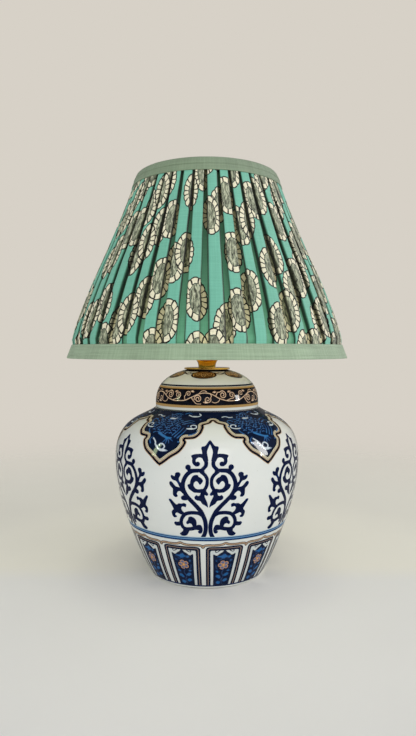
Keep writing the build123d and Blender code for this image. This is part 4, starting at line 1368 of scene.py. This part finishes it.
# %% Paints
NAVY, BLACK_BLUE, INK_EDGE = (0.0008, 0.0035, 0.028, 1), (0.002, 0.002, 0.006, 1), (0.003, 0.018, 0.10, 1)
TAN, PINK_TAN, CREAM_LINE = (0.33, 0.21, 0.10, 1), (0.48, 0.34, 0.22, 1), (0.60, 0.55, 0.40, 1)
OCHRE, BROWN = (0.42, 0.26, 0.095, 1), (0.10, 0.065, 0.050, 1)
BAND_LOW, BAND_HIGH = 151.2, 170.1      # heights of the lid's band


def lid_way(z):
    """Millimetres along the lid from the lower edge of its band up to a height."""
    return float(lid_face.s_of_z(z * MM) - lid_face.s_of_z(BAND_LOW * MM)) / MM


trees_paint = painted("trees_paint", (0.0, INK_EDGE), (0.3, NAVY), wash=0.05)
collar_paint = painted("collar_paint", (0.0, PINK_TAN), (0.5, BLACK_BLUE), (2.3, PINK_TAN), (2.75, BROWN),
                       (3.05, CREAM_LINE), (3.75, BROWN), (4.05, CREAM_LINE), (4.6, BLACK_BLUE),
                       (5.4, (0.002, 0.006, 0.024, 1)), wash=0.04, ragged=0.3)
scroll_paint = painted("scroll_paint", (0.0, (0.008, 0.055, 0.19, 1)), (0.35, (0.018, 0.15, 0.38, 1)),
                       wash=0.35)
scale_paint = painted("scale_paint", (0.0, (0.010, 0.055, 0.18, 1)), (0.2, (0.028, 0.125, 0.35, 1)), wash=0.3)
cloud_paint = painted("cloud_paint", (0.0, (0.25, 0.32, 0.42, 1)), (0.25, (0.58, 0.63, 0.67, 1)), wash=0.2)
lines_paint = painted("lines_paint", (0.0, (0.30, 0.42, 0.52, 1)), (0.25, (0.003, 0.016, 0.07, 1)),
                      (1.3, (0.020, 0.10, 0.27, 1)), (1.9, (0.16, 0.30, 0.45, 1)),
                      (2.5, (0.006, 0.05, 0.17, 1)), (3.5, (0.30, 0.44, 0.54, 1)), wash=0.1)
foot_line_paint = painted("foot_line_paint", (0.0, (0.006, 0.016, 0.060, 1)), wash=0.1)
panel_paint = painted("panel_paint", (0.0, (0.003, 0.006, 0.022, 1)), (1.5, BROWN),
                      (1.65, (0.34, 0.24, 0.17, 1)), (1.95, BROWN), (2.1, (0.003, 0.006, 0.020, 1)),
                      (3.8, (0.56, 0.59, 0.58, 1)), wash=0.1, ragged=0.5)
arcade_paint = painted("arcade_paint", (0.0, (0.030, 0.020, 0.018, 1)), (0.5, BROWN), (0.65, PINK_TAN),
                       (1.0, TAN), wash=0.1, ragged=0.3)
field_paint = painted("field_paint", (0.0, (0.003, 0.007, 0.026, 1)), wash=0.08)
leaf_paint = painted("leaf_paint", (0.0, (0.003, 0.014, 0.06, 1)), (0.5, (0.007, 0.10, 0.30, 1)), wash=0.3)
petal_paint = painted("petal_paint", (0.0, (0.50, 0.27, 0.12, 1)), (0.45, (0.10, 0.13, 0.24, 1)), wash=0.2)
heart_paint = painted("heart_paint", (0.0, (0.30, 0.14, 0.04, 1)), (0.35, (0.62, 0.34, 0.13, 1)), wash=0.1)
band_paint = painted("band_paint", (0.0, OCHRE), (lid_way(153.3), (0.003, 0.002, 0.003, 1)),
                     (lid_way(166.7), (0.20, 0.10, 0.02, 1)), (lid_way(167.0), OCHRE),
                     (lid_way(168.4), (0.60, 0.62, 0.55, 1)), (lid_way(168.7), (0.002, 0.006, 0.026, 1)),
                     wash=0.05, span=24.0)
vine_paint = painted("vine_paint", (0.0, (0.46, 0.29, 0.18, 1)), (0.2, (0.76, 0.58, 0.42, 1)), wash=0.05)
crown_paint = painted("crown_paint", (0.0, (0.010, 0.007, 0.004, 1)), (1.2, (0.105, 0.048, 0.009, 1)),
                      wash=0.05, Metallic=0.25, Coat_Weight=0.08)
filigree_paint = painted("filigree_paint", (0.0, (0.52, 0.31, 0.11, 1)), wash=0.0, Metallic=0.25,
                         Coat_Weight=0.08)
ribbon_paint = painted("ribbon_paint", (0.0, (0.025, 0.015, 0.005, 1)), wash=0.0, Coat_Weight=0.08)
# Near-black for the ring under the brass disc's edge: mostly painted shadow of the disc, partly a dark line
# on the lid.
crown_line_and_shadow_paint = painted("crown_line_and_shadow_paint", (0.0, (0.004, 0.005, 0.010, 1)), wash=0.05)
print(len([material for material in bpy.data.materials if material.name.endswith("_paint")]), "paints")

# %% [markdown]
# ## Scroll trees
# Six trees of scrolls in dark cobalt stand round the belly. The painted tree is nearly even, so its right
# half is drawn and mirrored. Then the whole leans a little to one side, as a drawing by hand does.

# %% Scroll trees round the belly
SHEET_DEGREE = 1.396        # millimetres of sheet per degree, as on a cylinder of 80 mm
# right half of the drop-shaped hole in the top of a tree
TREE_DROP = ((0.1, 125.8), (1.2, 123.6), (2.2, 120.6), (1.9, 118), (1.35, 115.6), (0.95, 112),
             (1.4, 109.4), (2.9, 107.6), (4.0, 105.9), (3.0, 104.6), (1.2, 102.5), (0.4, 99.4),
             (0.25, 93.2))


def draw_scroll_tree():
    tree = Drawing(SHEET_DEGREE)
    tree.blob((0.0, 128.9), (0.9, 128.4), (2.1, 126.9), (3.1, 125.5), (4.3, 124.6), (6.5, 124.3),
              (6.9, 122.8), (6.3, 121.0), (6.0, 119.2), (5.6, 117.0), (4.0, 115.0), (1.2, 113.5),
              (-0.5, 115), (-0.5, 126))
    tree.stroke(3.0, (4.6, 119), (4.2, 117), (2.9, 113.5), (2.7, 111), (3.5, 108.8), (5.4, 107))
    tree.stroke(2.9, (3.6, 114.2), (4.9, 116.6), (7.4, 117.6), (10.2, 117.0), (12.0, 114.8),
                (11.8, 112.2), (10.0, 110.7))
    tree.disc(9.2, 111.2, 1.9)
    tree.blob((9.2, 118.7), (11.8, 118.6), (14.4, 117.6), (13.8, 115.8), (12.8, 114.4), (10.8, 115.6))
    tree.stroke(3.0, (4.5, 106.1), (9, 106.2), (15, 106.0))
    tree.stroke(2.6, (15.2, 105.4), (16.1, 107.6))
    tree.disc(16.4, 108.5, 2.2)
    tree.stroke(3.2, (9, 106.1), (13, 105.7), (16.3, 103.6), (18.6, 100.4), (20, 96.5), (20.1, 92.5),
                (19, 88.8), (16.9, 85.3), (14.2, 82.3), (11.4, 79.4), (8.6, 76.3), (6.1, 73.2),
                (4.3, 69.6), (2.7, 65.5), (2.0, 61.5), (2.0, 57.5), (2.5, 54.5), (3.5, 52), (5.0, 49.4),
                end_width=3.7)
    tree.blob((17.3, 86.2), (20, 86), (21.8, 84.6), (21.3, 82.5), (19.3, 81.9), (16.6, 82.6))
    tree.stroke(2.7, (6.4, 105.2), (3.4, 102.6), (1.75, 99.5), (1.6, 96.5), (2.2, 93.5), (3.8, 90.6))
    tree.blob((7.6, 91.4), (10.1, 91.9), (11.8, 94.2), (11.5, 96.4), (9.8, 97.8), (8.2, 96.4),
              (7.05, 94.9), (5.4, 96.7), (4.8, 98.3), (6.2, 100.3), (8.2, 101.4), (8.7, 102.5),
              (10.1, 102.8), (12.1, 102.2), (13.7, 100), (14.6, 97.2), (14.8, 95.6), (16.6, 94.7),
              (15.7, 91.9), (14, 90.3), (11.5, 88.6), (9.6, 88.5), (7.05, 88.4), (4.6, 89.6), (5.2, 91.8))
    tree.blob((2.05, 89.8), (0.8, 88.2), (0.5, 86.9), (1.5, 86), (3.2, 86.7), (3.4, 85.9), (2.3, 83.1),
              (1.0, 80), (0.5, 76.4), (2.05, 77.6), (5.1, 79.5), (6.5, 81.7), (8.7, 82.1), (10.7, 83.1),
              (11.2, 85), (9.6, 86.7), (8.4, 85.9), (7.3, 86.2), (6.5, 88.1), (6.4, 90.6), (4.0, 92.2),
              (2.4, 91.8))
    tree.blob((20.4, 96.0), (21.9, 96.2), (22.9, 97.2), (23.4, 99.4), (22.05, 102.2), (22.6, 103.9),
              (24.6, 104.4), (26.5, 103.3), (26.8, 101.1), (29.3, 101.9), (30.1, 100.8), (29.3, 98.9),
              (27.9, 97.8), (25.7, 97.2), (24, 95), (23.0, 92.8), (20.6, 91.6))
    tree.blob((20.4, 91.5), (23.2, 92.5), (25.7, 93), (27.9, 95.3), (29.3, 96.7), (30.9, 96.4),
              (31.2, 94.7), (30.1, 92.8), (28.4, 91.0), (28.3, 90.3), (28.4, 87.8), (28.2, 85.6),
              (26.5, 84.2), (24.6, 84.5), (24.3, 85.6), (25.1, 87), (24, 88.9), (22.3, 89.2),
              (20.7, 87.8), (19.6, 87.0), (18.9, 88.6))
    tree.blob((18.2, 76.2), (17.6, 78.7), (19.6, 79.8), (21.2, 79.2), (24, 79.2), (25.7, 78.1),
              (28.4, 80.6), (30.1, 82.3), (31.8, 82.3), (31.8, 80.9), (29.8, 77.3), (28.4, 74.2),
              (29.6, 72.8), (30.3, 71.4), (29.8, 68.4), (28.4, 66.9), (26.2, 67.3), (25.7, 68.4),
              (27.05, 69.2), (26.8, 70.6), (25.4, 71.2), (22.05, 69.8), (20.0, 70.0), (19.0, 71.2),
              (19.8, 72), (21.2, 73.4), (21.8, 75.3), (20.9, 76.7), (19.4, 76.6))
    tree.stroke(3.1, (4.4, 69.4), (7.5, 71.4), (11, 71.9), (15, 71.7), (18.5, 70.6), (21, 68),
                (22.4, 64.8), (22.4, 61.5), (21, 58.8), (18.5, 57.7), (14.5, 58), (10.5, 59))
    tree.blob((22.6, 64.2), (25.4, 63.4), (27.9, 63.4), (29, 62), (27.9, 60.1), (25.7, 59.8),
              (22.9, 60.3), (21.5, 61.5))
    tree.blob((9.7, 60.6), (9.6, 64.2), (10.9, 67), (14, 68.7), (16.2, 67.8), (16.8, 65.6), (18.2, 63.9),
              (18.2, 62.3), (17, 61.7), (15.7, 62.6), (13.7, 62), (13, 60.0), (12, 58.6), (10.2, 58.8))
    tree.blob((5.7, 61.2), (4.4, 57.6), (5.4, 54.2), (7.9, 54.2), (8.6, 55.9), (7.6, 56.6), (10.1, 57.1),
              (13.4, 56.4), (16.2, 56.2), (16.2, 58.6), (12, 60.4), (9.2, 61.4), (7.6, 61.8))
    tree.blob((15.6, 57.2), (17, 53.9), (18.4, 52), (20.7, 51.2), (23.4, 51.4), (24.8, 53.1),
              (23.4, 54.2), (21.6, 55.9), (21.3, 58.6), (18.5, 58.6))
    tree.mirror()
    tree.blob(*TREE_DROP, *mirrored(TREE_DROP[::-1]), hole=True)
    tree.lean(0.023, 88.0)
    return tree


scroll_trees = draw_scroll_tree().lay("scroll_trees", jar_face, centre=1.2, lift=0.05,
                                      rise=jar_face.s_of_z)
repeat(scroll_trees, jar_face, trees_paint, REPEATS)

# %% [markdown]
# ## Cloud collar
# A dark collar hangs over the shoulder in six pointed lappets, lined along their edge, with scrolls, scales
# and clouds inside. Each kind of stroke is an ornament of its own, laid a hundredth of a millimetre or more
# above or below the others, so that no two share a place. The shoulder is nearly level at the lid, where
# heights would crowd, so this sheet counts its way up along the jar's outline.

# %% Collar of lappets round the shoulder
COLLAR_DEGREE = 1.3         # millimetres of sheet per degree
LAPPET_HALF = 180 / REPEATS     # half the width of a lappet, in degrees
COLLAR_LOW = 105.0          # height on the jar from which the sheet counts its ways up
COLLAR_TOP = 61.4           # way of the lid's rim
COLLAR_DRIFT = 3.5
LAPPET_ARCS = (((0, 2.8), (3.0, 5.8), (6.6, 10), (10.3, 13.5), (12.4, 16.8), (13.9, 20.5), (14.4, 23.6),
                (13.5, 25.2)),
               ((13.5, 25.2), (15.8, 25.4), (18.5, 26), (20.4, 27.7), (22.2, 30.7), (23.2, 34),
                (23.9, 38), (23.7, 40.7)),
               ((23.7, 40.7), (25.2, 41.4), (27.2, 42.5), (28.9, 44.3), (30, 46.6)))


def collar_way(y):
    return jar_face.s_of_z(COLLAR_LOW * MM) + y


def draw_lappet():
    lappet = Drawing(COLLAR_DEGREE, in_degrees=True)
    half = [tuple(point) for arc in LAPPET_ARCS for point in smooth_line(arc)[:-1]]
    half += [(LAPPET_HALF, y) for y in np.linspace(46.6, COLLAR_TOP, 9)]
    top = [(x, COLLAR_TOP) for x in np.linspace(28, -28, 29)]
    lappet.blob(*half, *top, *mirrored(half[:0:-1]), smooth=False)
    return lappet


def draw_lappet_scrolls():
    scrolls = Drawing(COLLAR_DEGREE, in_degrees=True)
    for path in (((6.5, 27.5), (9.0, 32.5), (10.6, 37.5)), ((8.4, 26.6), (11.2, 31.6), (13.0, 36.4)),
                 ((4.8, 29), (7.2, 33.5), (8.4, 38)), ((9, 45), (13, 47.2), (16.4, 46)),
                 ((10, 42.4), (14, 44), (17.4, 42.6)), ((-4, 56), (0, 57.4), (4, 56)),
                 ((6, 57), (9.4, 58.4), (12.4, 57)), ((-12, 29.6), (-14.2, 33.6), (-12.6, 37)),
                 ((-10, 46), (-13, 49), (-17, 50.4)), ((-8, 20.6), (-9.2, 23.8), (-7.4, 26.6)),
                 ((15, 29.4), (18.4, 31.4), (20, 34.8))):
        scrolls.stroke(1.25, *path, end_width=0.6)
    scrolls.stroke(2.6, (-4.6, 30.4), (-1.6, 28.2), (1.8, 26.4), (4.4, 26.2), end_width=1.6)
    for x, y in ((-0.4, 21.6), (1.8, 20.8), (4.0, 21.6), (6.0, 23.6)):
        scrolls.stroke(1.3, (1.6, 26.6), ((1.6 + x) / 2 + 0.5, (26.6 + y) / 2), (x, y), end_width=0.5)
    scrolls.stroke(1.1, (-16, 40.6), (-18.6, 42.8), (-19.4, 46), (-17, 47.4), (-15.2, 45.6))
    scrolls.stroke(1.1, (-5, 47), (-2, 48.6), (1, 46.8), (0.4, 44.4))
    for x, y in ((1.5, 40), (-6.5, 33.5), (13, 39.6), (-17.6, 53.6), (20.6, 49), (-20, 39), (4.4, 49),
                 (9.5, 23.2), (-9.5, 41)):
        scrolls.disc(x, y, 0.8)
    return scrolls


def draw_lappet_scales():
    """Short streaks in rows like roof tiles, which fan out over the middle of a lappet."""
    scales = Drawing(COLLAR_DEGREE, in_degrees=True)
    for row, y in enumerate(np.arange(31.0, 56.0, 2.7)):
        for column in range(-5, 5):
            x = (column + 0.5 * (row % 2)) * 2.9 - 2.4 + 0.5 * sin(7.0 * row + 3.0 * column)
            tilt = 0.9 * sin(2.3 * row + 1.7 * column)
            if abs(x + 2) < 12.5 - 0.45 * abs(y - 42):
                scales.stroke(1.15, (x - 0.9, y - 0.5 - tilt), (x, y + 0.4), (x + 0.9, y - 0.4 + tilt),
                              end_width=0.6)
    return scales


def draw_lappet_clouds():
    clouds = Drawing(COLLAR_DEGREE, in_degrees=True)
    clouds.stroke(1.25, (-7, 25), (-5, 22.5), (-3.8, 19), (-1.5, 16.2), (0.8, 16.4), (1.8, 18.6),
                  (0.6, 20.6), (-1.2, 20.8), (-1.8, 19.4))
    curl = ((12.8, 36), (16, 35.8), (18.6, 37.3), (18.4, 39.8), (16.2, 40.8), (14.8, 39.6), (15.3, 38.2))
    for side in (1, -1):
        clouds.stroke(1.2, *mirrored(curl, side))
    clouds.stroke(1.3, (10, 55.4), (14, 53.4), (18, 53.6), (20.5, 55.5), (19, 57.6))
    clouds.stroke(1.2, (-22, 52.5), (-19, 53.4), (-16, 51.8), (-13, 52))
    clouds.blob((-5.2, 20.4), (-3.4, 17.8), (-1.4, 15.2), (1.6, 14.6), (4.2, 15.6), (2.2, 16.6),
                (0.4, 16.9), (-1.8, 17.4), (-3.0, 19.4))
    clouds.blob((12.2, 36.4), (14.6, 35.2), (17.6, 35.8), (16.0, 37.2), (13.8, 37.0))
    clouds.blob((11.6, 54.2), (14.4, 52.6), (18.4, 53.0), (16.6, 54.4), (14, 54.4))
    clouds.blob((-5.6, 49.4), (-3.4, 50.8), (-0.6, 50.2), (1.6, 51.4), (0.4, 49.0), (-2.6, 48.4))
    return clouds


def lay_on_collar(name, drawing, material, lift, spacing, ends=None):
    obj = drawing.lay(name, jar_face, COLLAR_GAP + LAPPET_HALF, lift, collar_way, spacing, ends)
    repeat(obj, jar_face, material, REPEATS, COLLAR_DRIFT)


lay_on_collar("cloud_collar", draw_lappet(), collar_paint, lift=0.05, spacing=0.9,
              ends=((LAPPET_HALF - 0.1) * COLLAR_DEGREE, -1, COLLAR_TOP - 0.1))
lay_on_collar("collar_scrolls", draw_lappet_scrolls(), scroll_paint, lift=0.08, spacing=1.6)
lay_on_collar("collar_scales", draw_lappet_scales(), scale_paint, lift=0.07, spacing=2.0)
lay_on_collar("collar_clouds", draw_lappet_clouds(), cloud_paint, lift=0.10, spacing=1.6)

# %% [markdown]
# ## Foot
# Twelve panels with rounded shoulders stand round the foot, each with a flower and leaves on a dark field,
# under a wavy line. One panel is drawn, in layers again, and repeated. The lines below the belly and at the
# foot run all round, so they are plain hoops.

# %% Lines and panels round the foot
PANEL_DEGREE, PANEL_MIDDLE = 1.05, 12.4     # millimetres of sheet per degree, azimuth of a front panel
FLOWER_Y = 24.3

hoop("belly_lines", jar_face, lines_paint, low=46.9, high=50.9, lift=0.08)
hoop("foot_line", jar_face, foot_line_paint, low=2.5, high=4.0, lift=0.07)


def draw_panel():
    panel = Drawing(PANEL_DEGREE, in_degrees=True)
    side = [(13.2, y) for y in np.linspace(2.6, 38.2, 19)]
    side += [(13.1, 39.6), (12.6, 40.7), (11.7, 41.4), (10.5, 41.7)]
    top = [(x, 41.7) for x in np.linspace(8, -8, 9)]
    foot = [(x, 2.6) for x in np.linspace(-11, 11, 12)]
    panel.blob(*side, *top, *mirrored(side[::-1]), *foot, smooth=False)
    return panel


def draw_field():
    field = Drawing(PANEL_DEGREE, in_degrees=True)
    side = [(6.9 + 1.2 * t, 3.4 + 30.6 * t) for t in np.linspace(0, 1, 15)]
    side += [(7.8, 34.9), (6.9, 34.4), (6.2, 33.7), (5.0, 33.6), (4.2, 34.6), (3.2, 35.6), (1.9, 36.4),
             (0.9, 37.8), (0.4, 39.4)]
    foot = [(x, 3.4) for x in np.linspace(-5.5, 5.5, 6)]
    field.blob(*side, (0, 40.1), *mirrored(side[::-1]), *foot, smooth=False)
    return field


def draw_panel_curls():
    curls = Drawing(PANEL_DEGREE, in_degrees=True)
    curl = ((1.2, 39.0), (3.0, 38.6), (4.6, 37.2), (6.2, 36.6), (6.6, 38.0), (5.4, 38.4))
    for side in (1, -1):
        curls.stroke(0.7, *mirrored(curl, side))
    return curls


def draw_arcade():
    arcade = Drawing(PANEL_DEGREE, in_degrees=True)
    half = [(15, 41.2), (14.6, 42.2), (13.4, 43.0), (11, 43.3), (8, 43.1), (4, 43.3), (1.6, 43.9), (0, 44.8)]
    arcade.stroke(2.2, *half, *mirrored(half[-2::-1]))
    return arcade


def draw_leaves():
    leaves = Drawing(PANEL_DEGREE, in_degrees=True)
    leaves.blob((0, 29.4), (1.2, 31.2), (3.4, 30.6), (5.4, 31.6), (4.6, 33.6), (2.6, 33.0), (1.4, 34.2),
                (-0.2, 35.6), (-1.6, 34.0), (-3.2, 33.4), (-5.0, 33.8), (-5.2, 31.4), (-3.0, 31.2),
                (-1.4, 30.8))
    leaves.stroke(1.1, (0.4, 20), (-0.6, 16.5), (0.8, 13), (-0.4, 9.5), (0.4, 5.6))
    leaves.blob((0.6, 14.2), (2.4, 16.4), (4.6, 16.8), (5.6, 15.0), (4.2, 13.6), (2.2, 12.6))
    leaves.blob((-0.6, 12.0), (-2.2, 14.4), (-4.6, 15.2), (-5.8, 13.2), (-4.4, 11.8), (-2.2, 10.6))
    leaves.blob((0.4, 8.6), (2.0, 10.6), (4.4, 10.8), (5.2, 8.8), (3.6, 7.4), (1.8, 6.8))
    leaves.blob((-0.2, 6.8), (-1.8, 8.4), (-4.2, 8.6), (-5.0, 6.4), (-3.2, 5.0), (-1.4, 5.0))
    leaves.blob((2.6, 18.6), (4.2, 19.8), (6.2, 19.2), (5.4, 17.8), (3.6, 17.4))
    leaves.blob((-2.4, 17.6), (-3.8, 19.4), (-6.0, 19.0), (-5.6, 17.2), (-3.8, 16.6))
    leaves.blob((-1.0, 31.8), (-2.6, 30.6), (-4.6, 29.8), (-3.0, 28.9), (-1.2, 29.8))
    leaves.stroke(1.0, (4.2, 20.6), (5.4, 21.8), (5.8, 24.6))
    leaves.stroke(1.0, (-4.0, 19.8), (-5.4, 22.0), (-5.6, 25.0))
    leaves.blob((4.2, 27.0), (6.0, 27.4), (6.4, 29.2), (4.8, 29.6))
    leaves.blob((-4.2, 27.2), (-6.0, 27.8), (-6.2, 29.6), (-4.6, 29.6))
    return leaves


def draw_petals():
    petals = Drawing(PANEL_DEGREE)
    petal = ((1.0, -0.5), (2.2, -1.7), (3.8, -1.5), (4.4, 0), (3.8, 1.5), (2.2, 1.7), (1.0, 0.5))
    for k in range(5):
        a = 2 * pi * (k + 0.5) / 5
        petals.blob(*[(cos(a) * r - sin(a) * w, FLOWER_Y + sin(a) * r + cos(a) * w) for r, w in petal])
    return petals


def draw_hearts():
    hearts = Drawing(PANEL_DEGREE)
    hearts.disc(0, FLOWER_Y, 1.3)
    return hearts


def lay_on_panels(name, drawing, material, lift, spacing=1.6, ends=None):
    obj = drawing.lay(name, jar_face, PANEL_MIDDLE, lift, jar_face.s_of_z, spacing, ends)
    repeat(obj, jar_face, material, PANELS)


lay_on_panels("foot_panels", draw_panel(), panel_paint, lift=0.05, spacing=1.1, ends=(99, 2.7, 99))
lay_on_panels("panel_fields", draw_field(), field_paint, lift=0.08, spacing=2.0)
lay_on_panels("panel_curls", draw_panel_curls(), field_paint, lift=0.08)
lay_on_panels("panel_arcade", draw_arcade(), arcade_paint, lift=0.05)
lay_on_panels("panel_leaves", draw_leaves(), leaf_paint, lift=0.11)
lay_on_panels("panel_petals", draw_petals(), petal_paint, lift=0.13)
lay_on_panels("panel_hearts", draw_hearts(), heart_paint, lift=0.15)

# %% [markdown]
# ## Lid
# A dark band with a gilt vine runs round the lid, and six gilt medallions lie on its crown, with ribbons
# between. The band is a hoop whose stripes are bands of its material. The crown is nearly level, so its
# drawings count their way down from the flat top.

# %% Band with a vine round the lid
LID_DEGREE = 0.8


def draw_vine():
    vine = Drawing(LID_DEGREE)
    wave = [(-24, 157.2), (-20, 157.6), (-14.4, 160.2), (-8, 163), (-2.4, 163.8), (3.2, 162.6),
            (9.0, 159.4), (15.2, 157.4), (20, 157.0), (24, 157.2)]
    vine.stroke(0.75, *wave)
    vine.stroke(0.75, (-14.4, 160.2), (-13.0, 157.6), *spiral(-8.8, 158.9, 3.3, -1.6, 195))
    vine.stroke(0.7, (1.6, 163.4), (2.6, 161.0), *spiral(-0.6, 158.4, 2.9, -1.5, 30))
    vine.stroke(0.75, (6.2, 161.2), (8.0, 164.2), *spiral(12.4, 162.2, 3.4, -1.6, 140))
    vine.stroke(0.7, (16.0, 157.6), (18.8, 158.6), *spiral(20.8, 161.9, 3.0, 1.5, 255))
    vine.stroke(0.65, (-20, 157.8), (-20.8, 160.6), *spiral(-17.4, 163.0, 2.4, -1.3, 200))
    vine.stroke(0.6, (-8, 163.2), (-6.0, 165.2), (-3.4, 165.6), (-1.4, 164.8))
    vine.stroke(0.6, (9.8, 159.0), (8.4, 156.6), (5.4, 155.6), (3.0, 156.4))
    vine.stroke(0.6, (-12.4, 157.2), (-10.0, 154.9), (-6.2, 154.7))
    vine.blob((3.4, 164.4), (5.4, 165.4), (7.2, 164.6), (5.4, 163.6))
    vine.blob((-4.6, 156.0), (-2.2, 156.8), (0.2, 155.8), (-2.2, 155.2))
    vine.blob((16.8, 164.4), (18.2, 165.6), (20.4, 165.0), (18.6, 163.8))
    vine.blob((-15.8, 165.2), (-13.6, 165.8), (-12.0, 164.6), (-14.0, 164.2))
    return vine


hoop("lid_band", lid_face, band_paint, BAND_LOW, BAND_HIGH, lift=0.05, rows=40)
lid_vine = draw_vine().lay("lid_vine", lid_face, centre=1.5, lift=0.09, rise=lid_face.s_of_z, spacing=1.4)
repeat(lid_vine, lid_face, vine_paint, REPEATS)

# %% Gilt medallions round the lid's crown
CROWN_DEGREE, CROWN_MIDDLE = 0.5, -5.5      # millimetres of sheet per degree, azimuth of a front medallion


def crown_way(y):
    """Ways on the lid for a sheet that counts up to the flat top, which the brass disc covers."""
    return lid_face.s[-1] + y


def draw_medallion():
    medallion = Drawing(CROWN_DEGREE)
    medallion.blob(*[(11.0 * cos(a), -12.7 + 7.4 * sin(a)) for a in np.linspace(0, 2 * pi, 25)[:-1]])
    return medallion


def draw_filigree():
    filigree = Drawing(CROWN_DEGREE)
    scroll = [(0.6, -16.6)] + spiral(4.6, -12.6, 3.2, -1.5, 215)
    edge = ((7.6, -16.0), (8.6, -13.6), (8.4, -11.2), (7.0, -9.4))
    for side in (1, -1):
        filigree.stroke(0.8, *mirrored(scroll, side))
        filigree.stroke(0.7, *mirrored(edge, side))
    filigree.stroke(0.8, (-3.4, -7.6), (-1.2, -8.6), (0, -10.4), (1.2, -8.6), (3.4, -7.6))
    filigree.disc(0, -13.6, 1.0)
    return filigree


def draw_ribbon():
    ribbon = Drawing(CROWN_DEGREE)
    ribbon.stroke(1.4, (10.2, -9.6), (12.2, -11.4), (15.0, -12.4), (17.8, -11.4), (19.8, -9.6))
    ribbon.stroke(1.0, (13.2, -9.8), (14.4, -8.8), (15.6, -8.8), (16.8, -9.8))
    return ribbon


def lay_on_crown(name, drawing, material, lift):
    obj = drawing.lay(name, lid_face, CROWN_MIDDLE, lift, crown_way, spacing=1.4)
    repeat(obj, lid_face, material, REPEATS)


# The dark ring under the brass disc's edge is mostly painted shadow of the disc, partly a dark line painted
# on the lid.
hoop("crown_line_and_shadow", lid_face, crown_line_and_shadow_paint, low=180.9, high=182.5, lift=0.06)
lay_on_crown("crown_medallions", draw_medallion(), crown_paint, lift=0.05)
lay_on_crown("crown_filigree", draw_filigree(), filigree_paint, lift=0.08)
lay_on_crown("crown_ribbons", draw_ribbon(), ribbon_paint, lift=0.09)
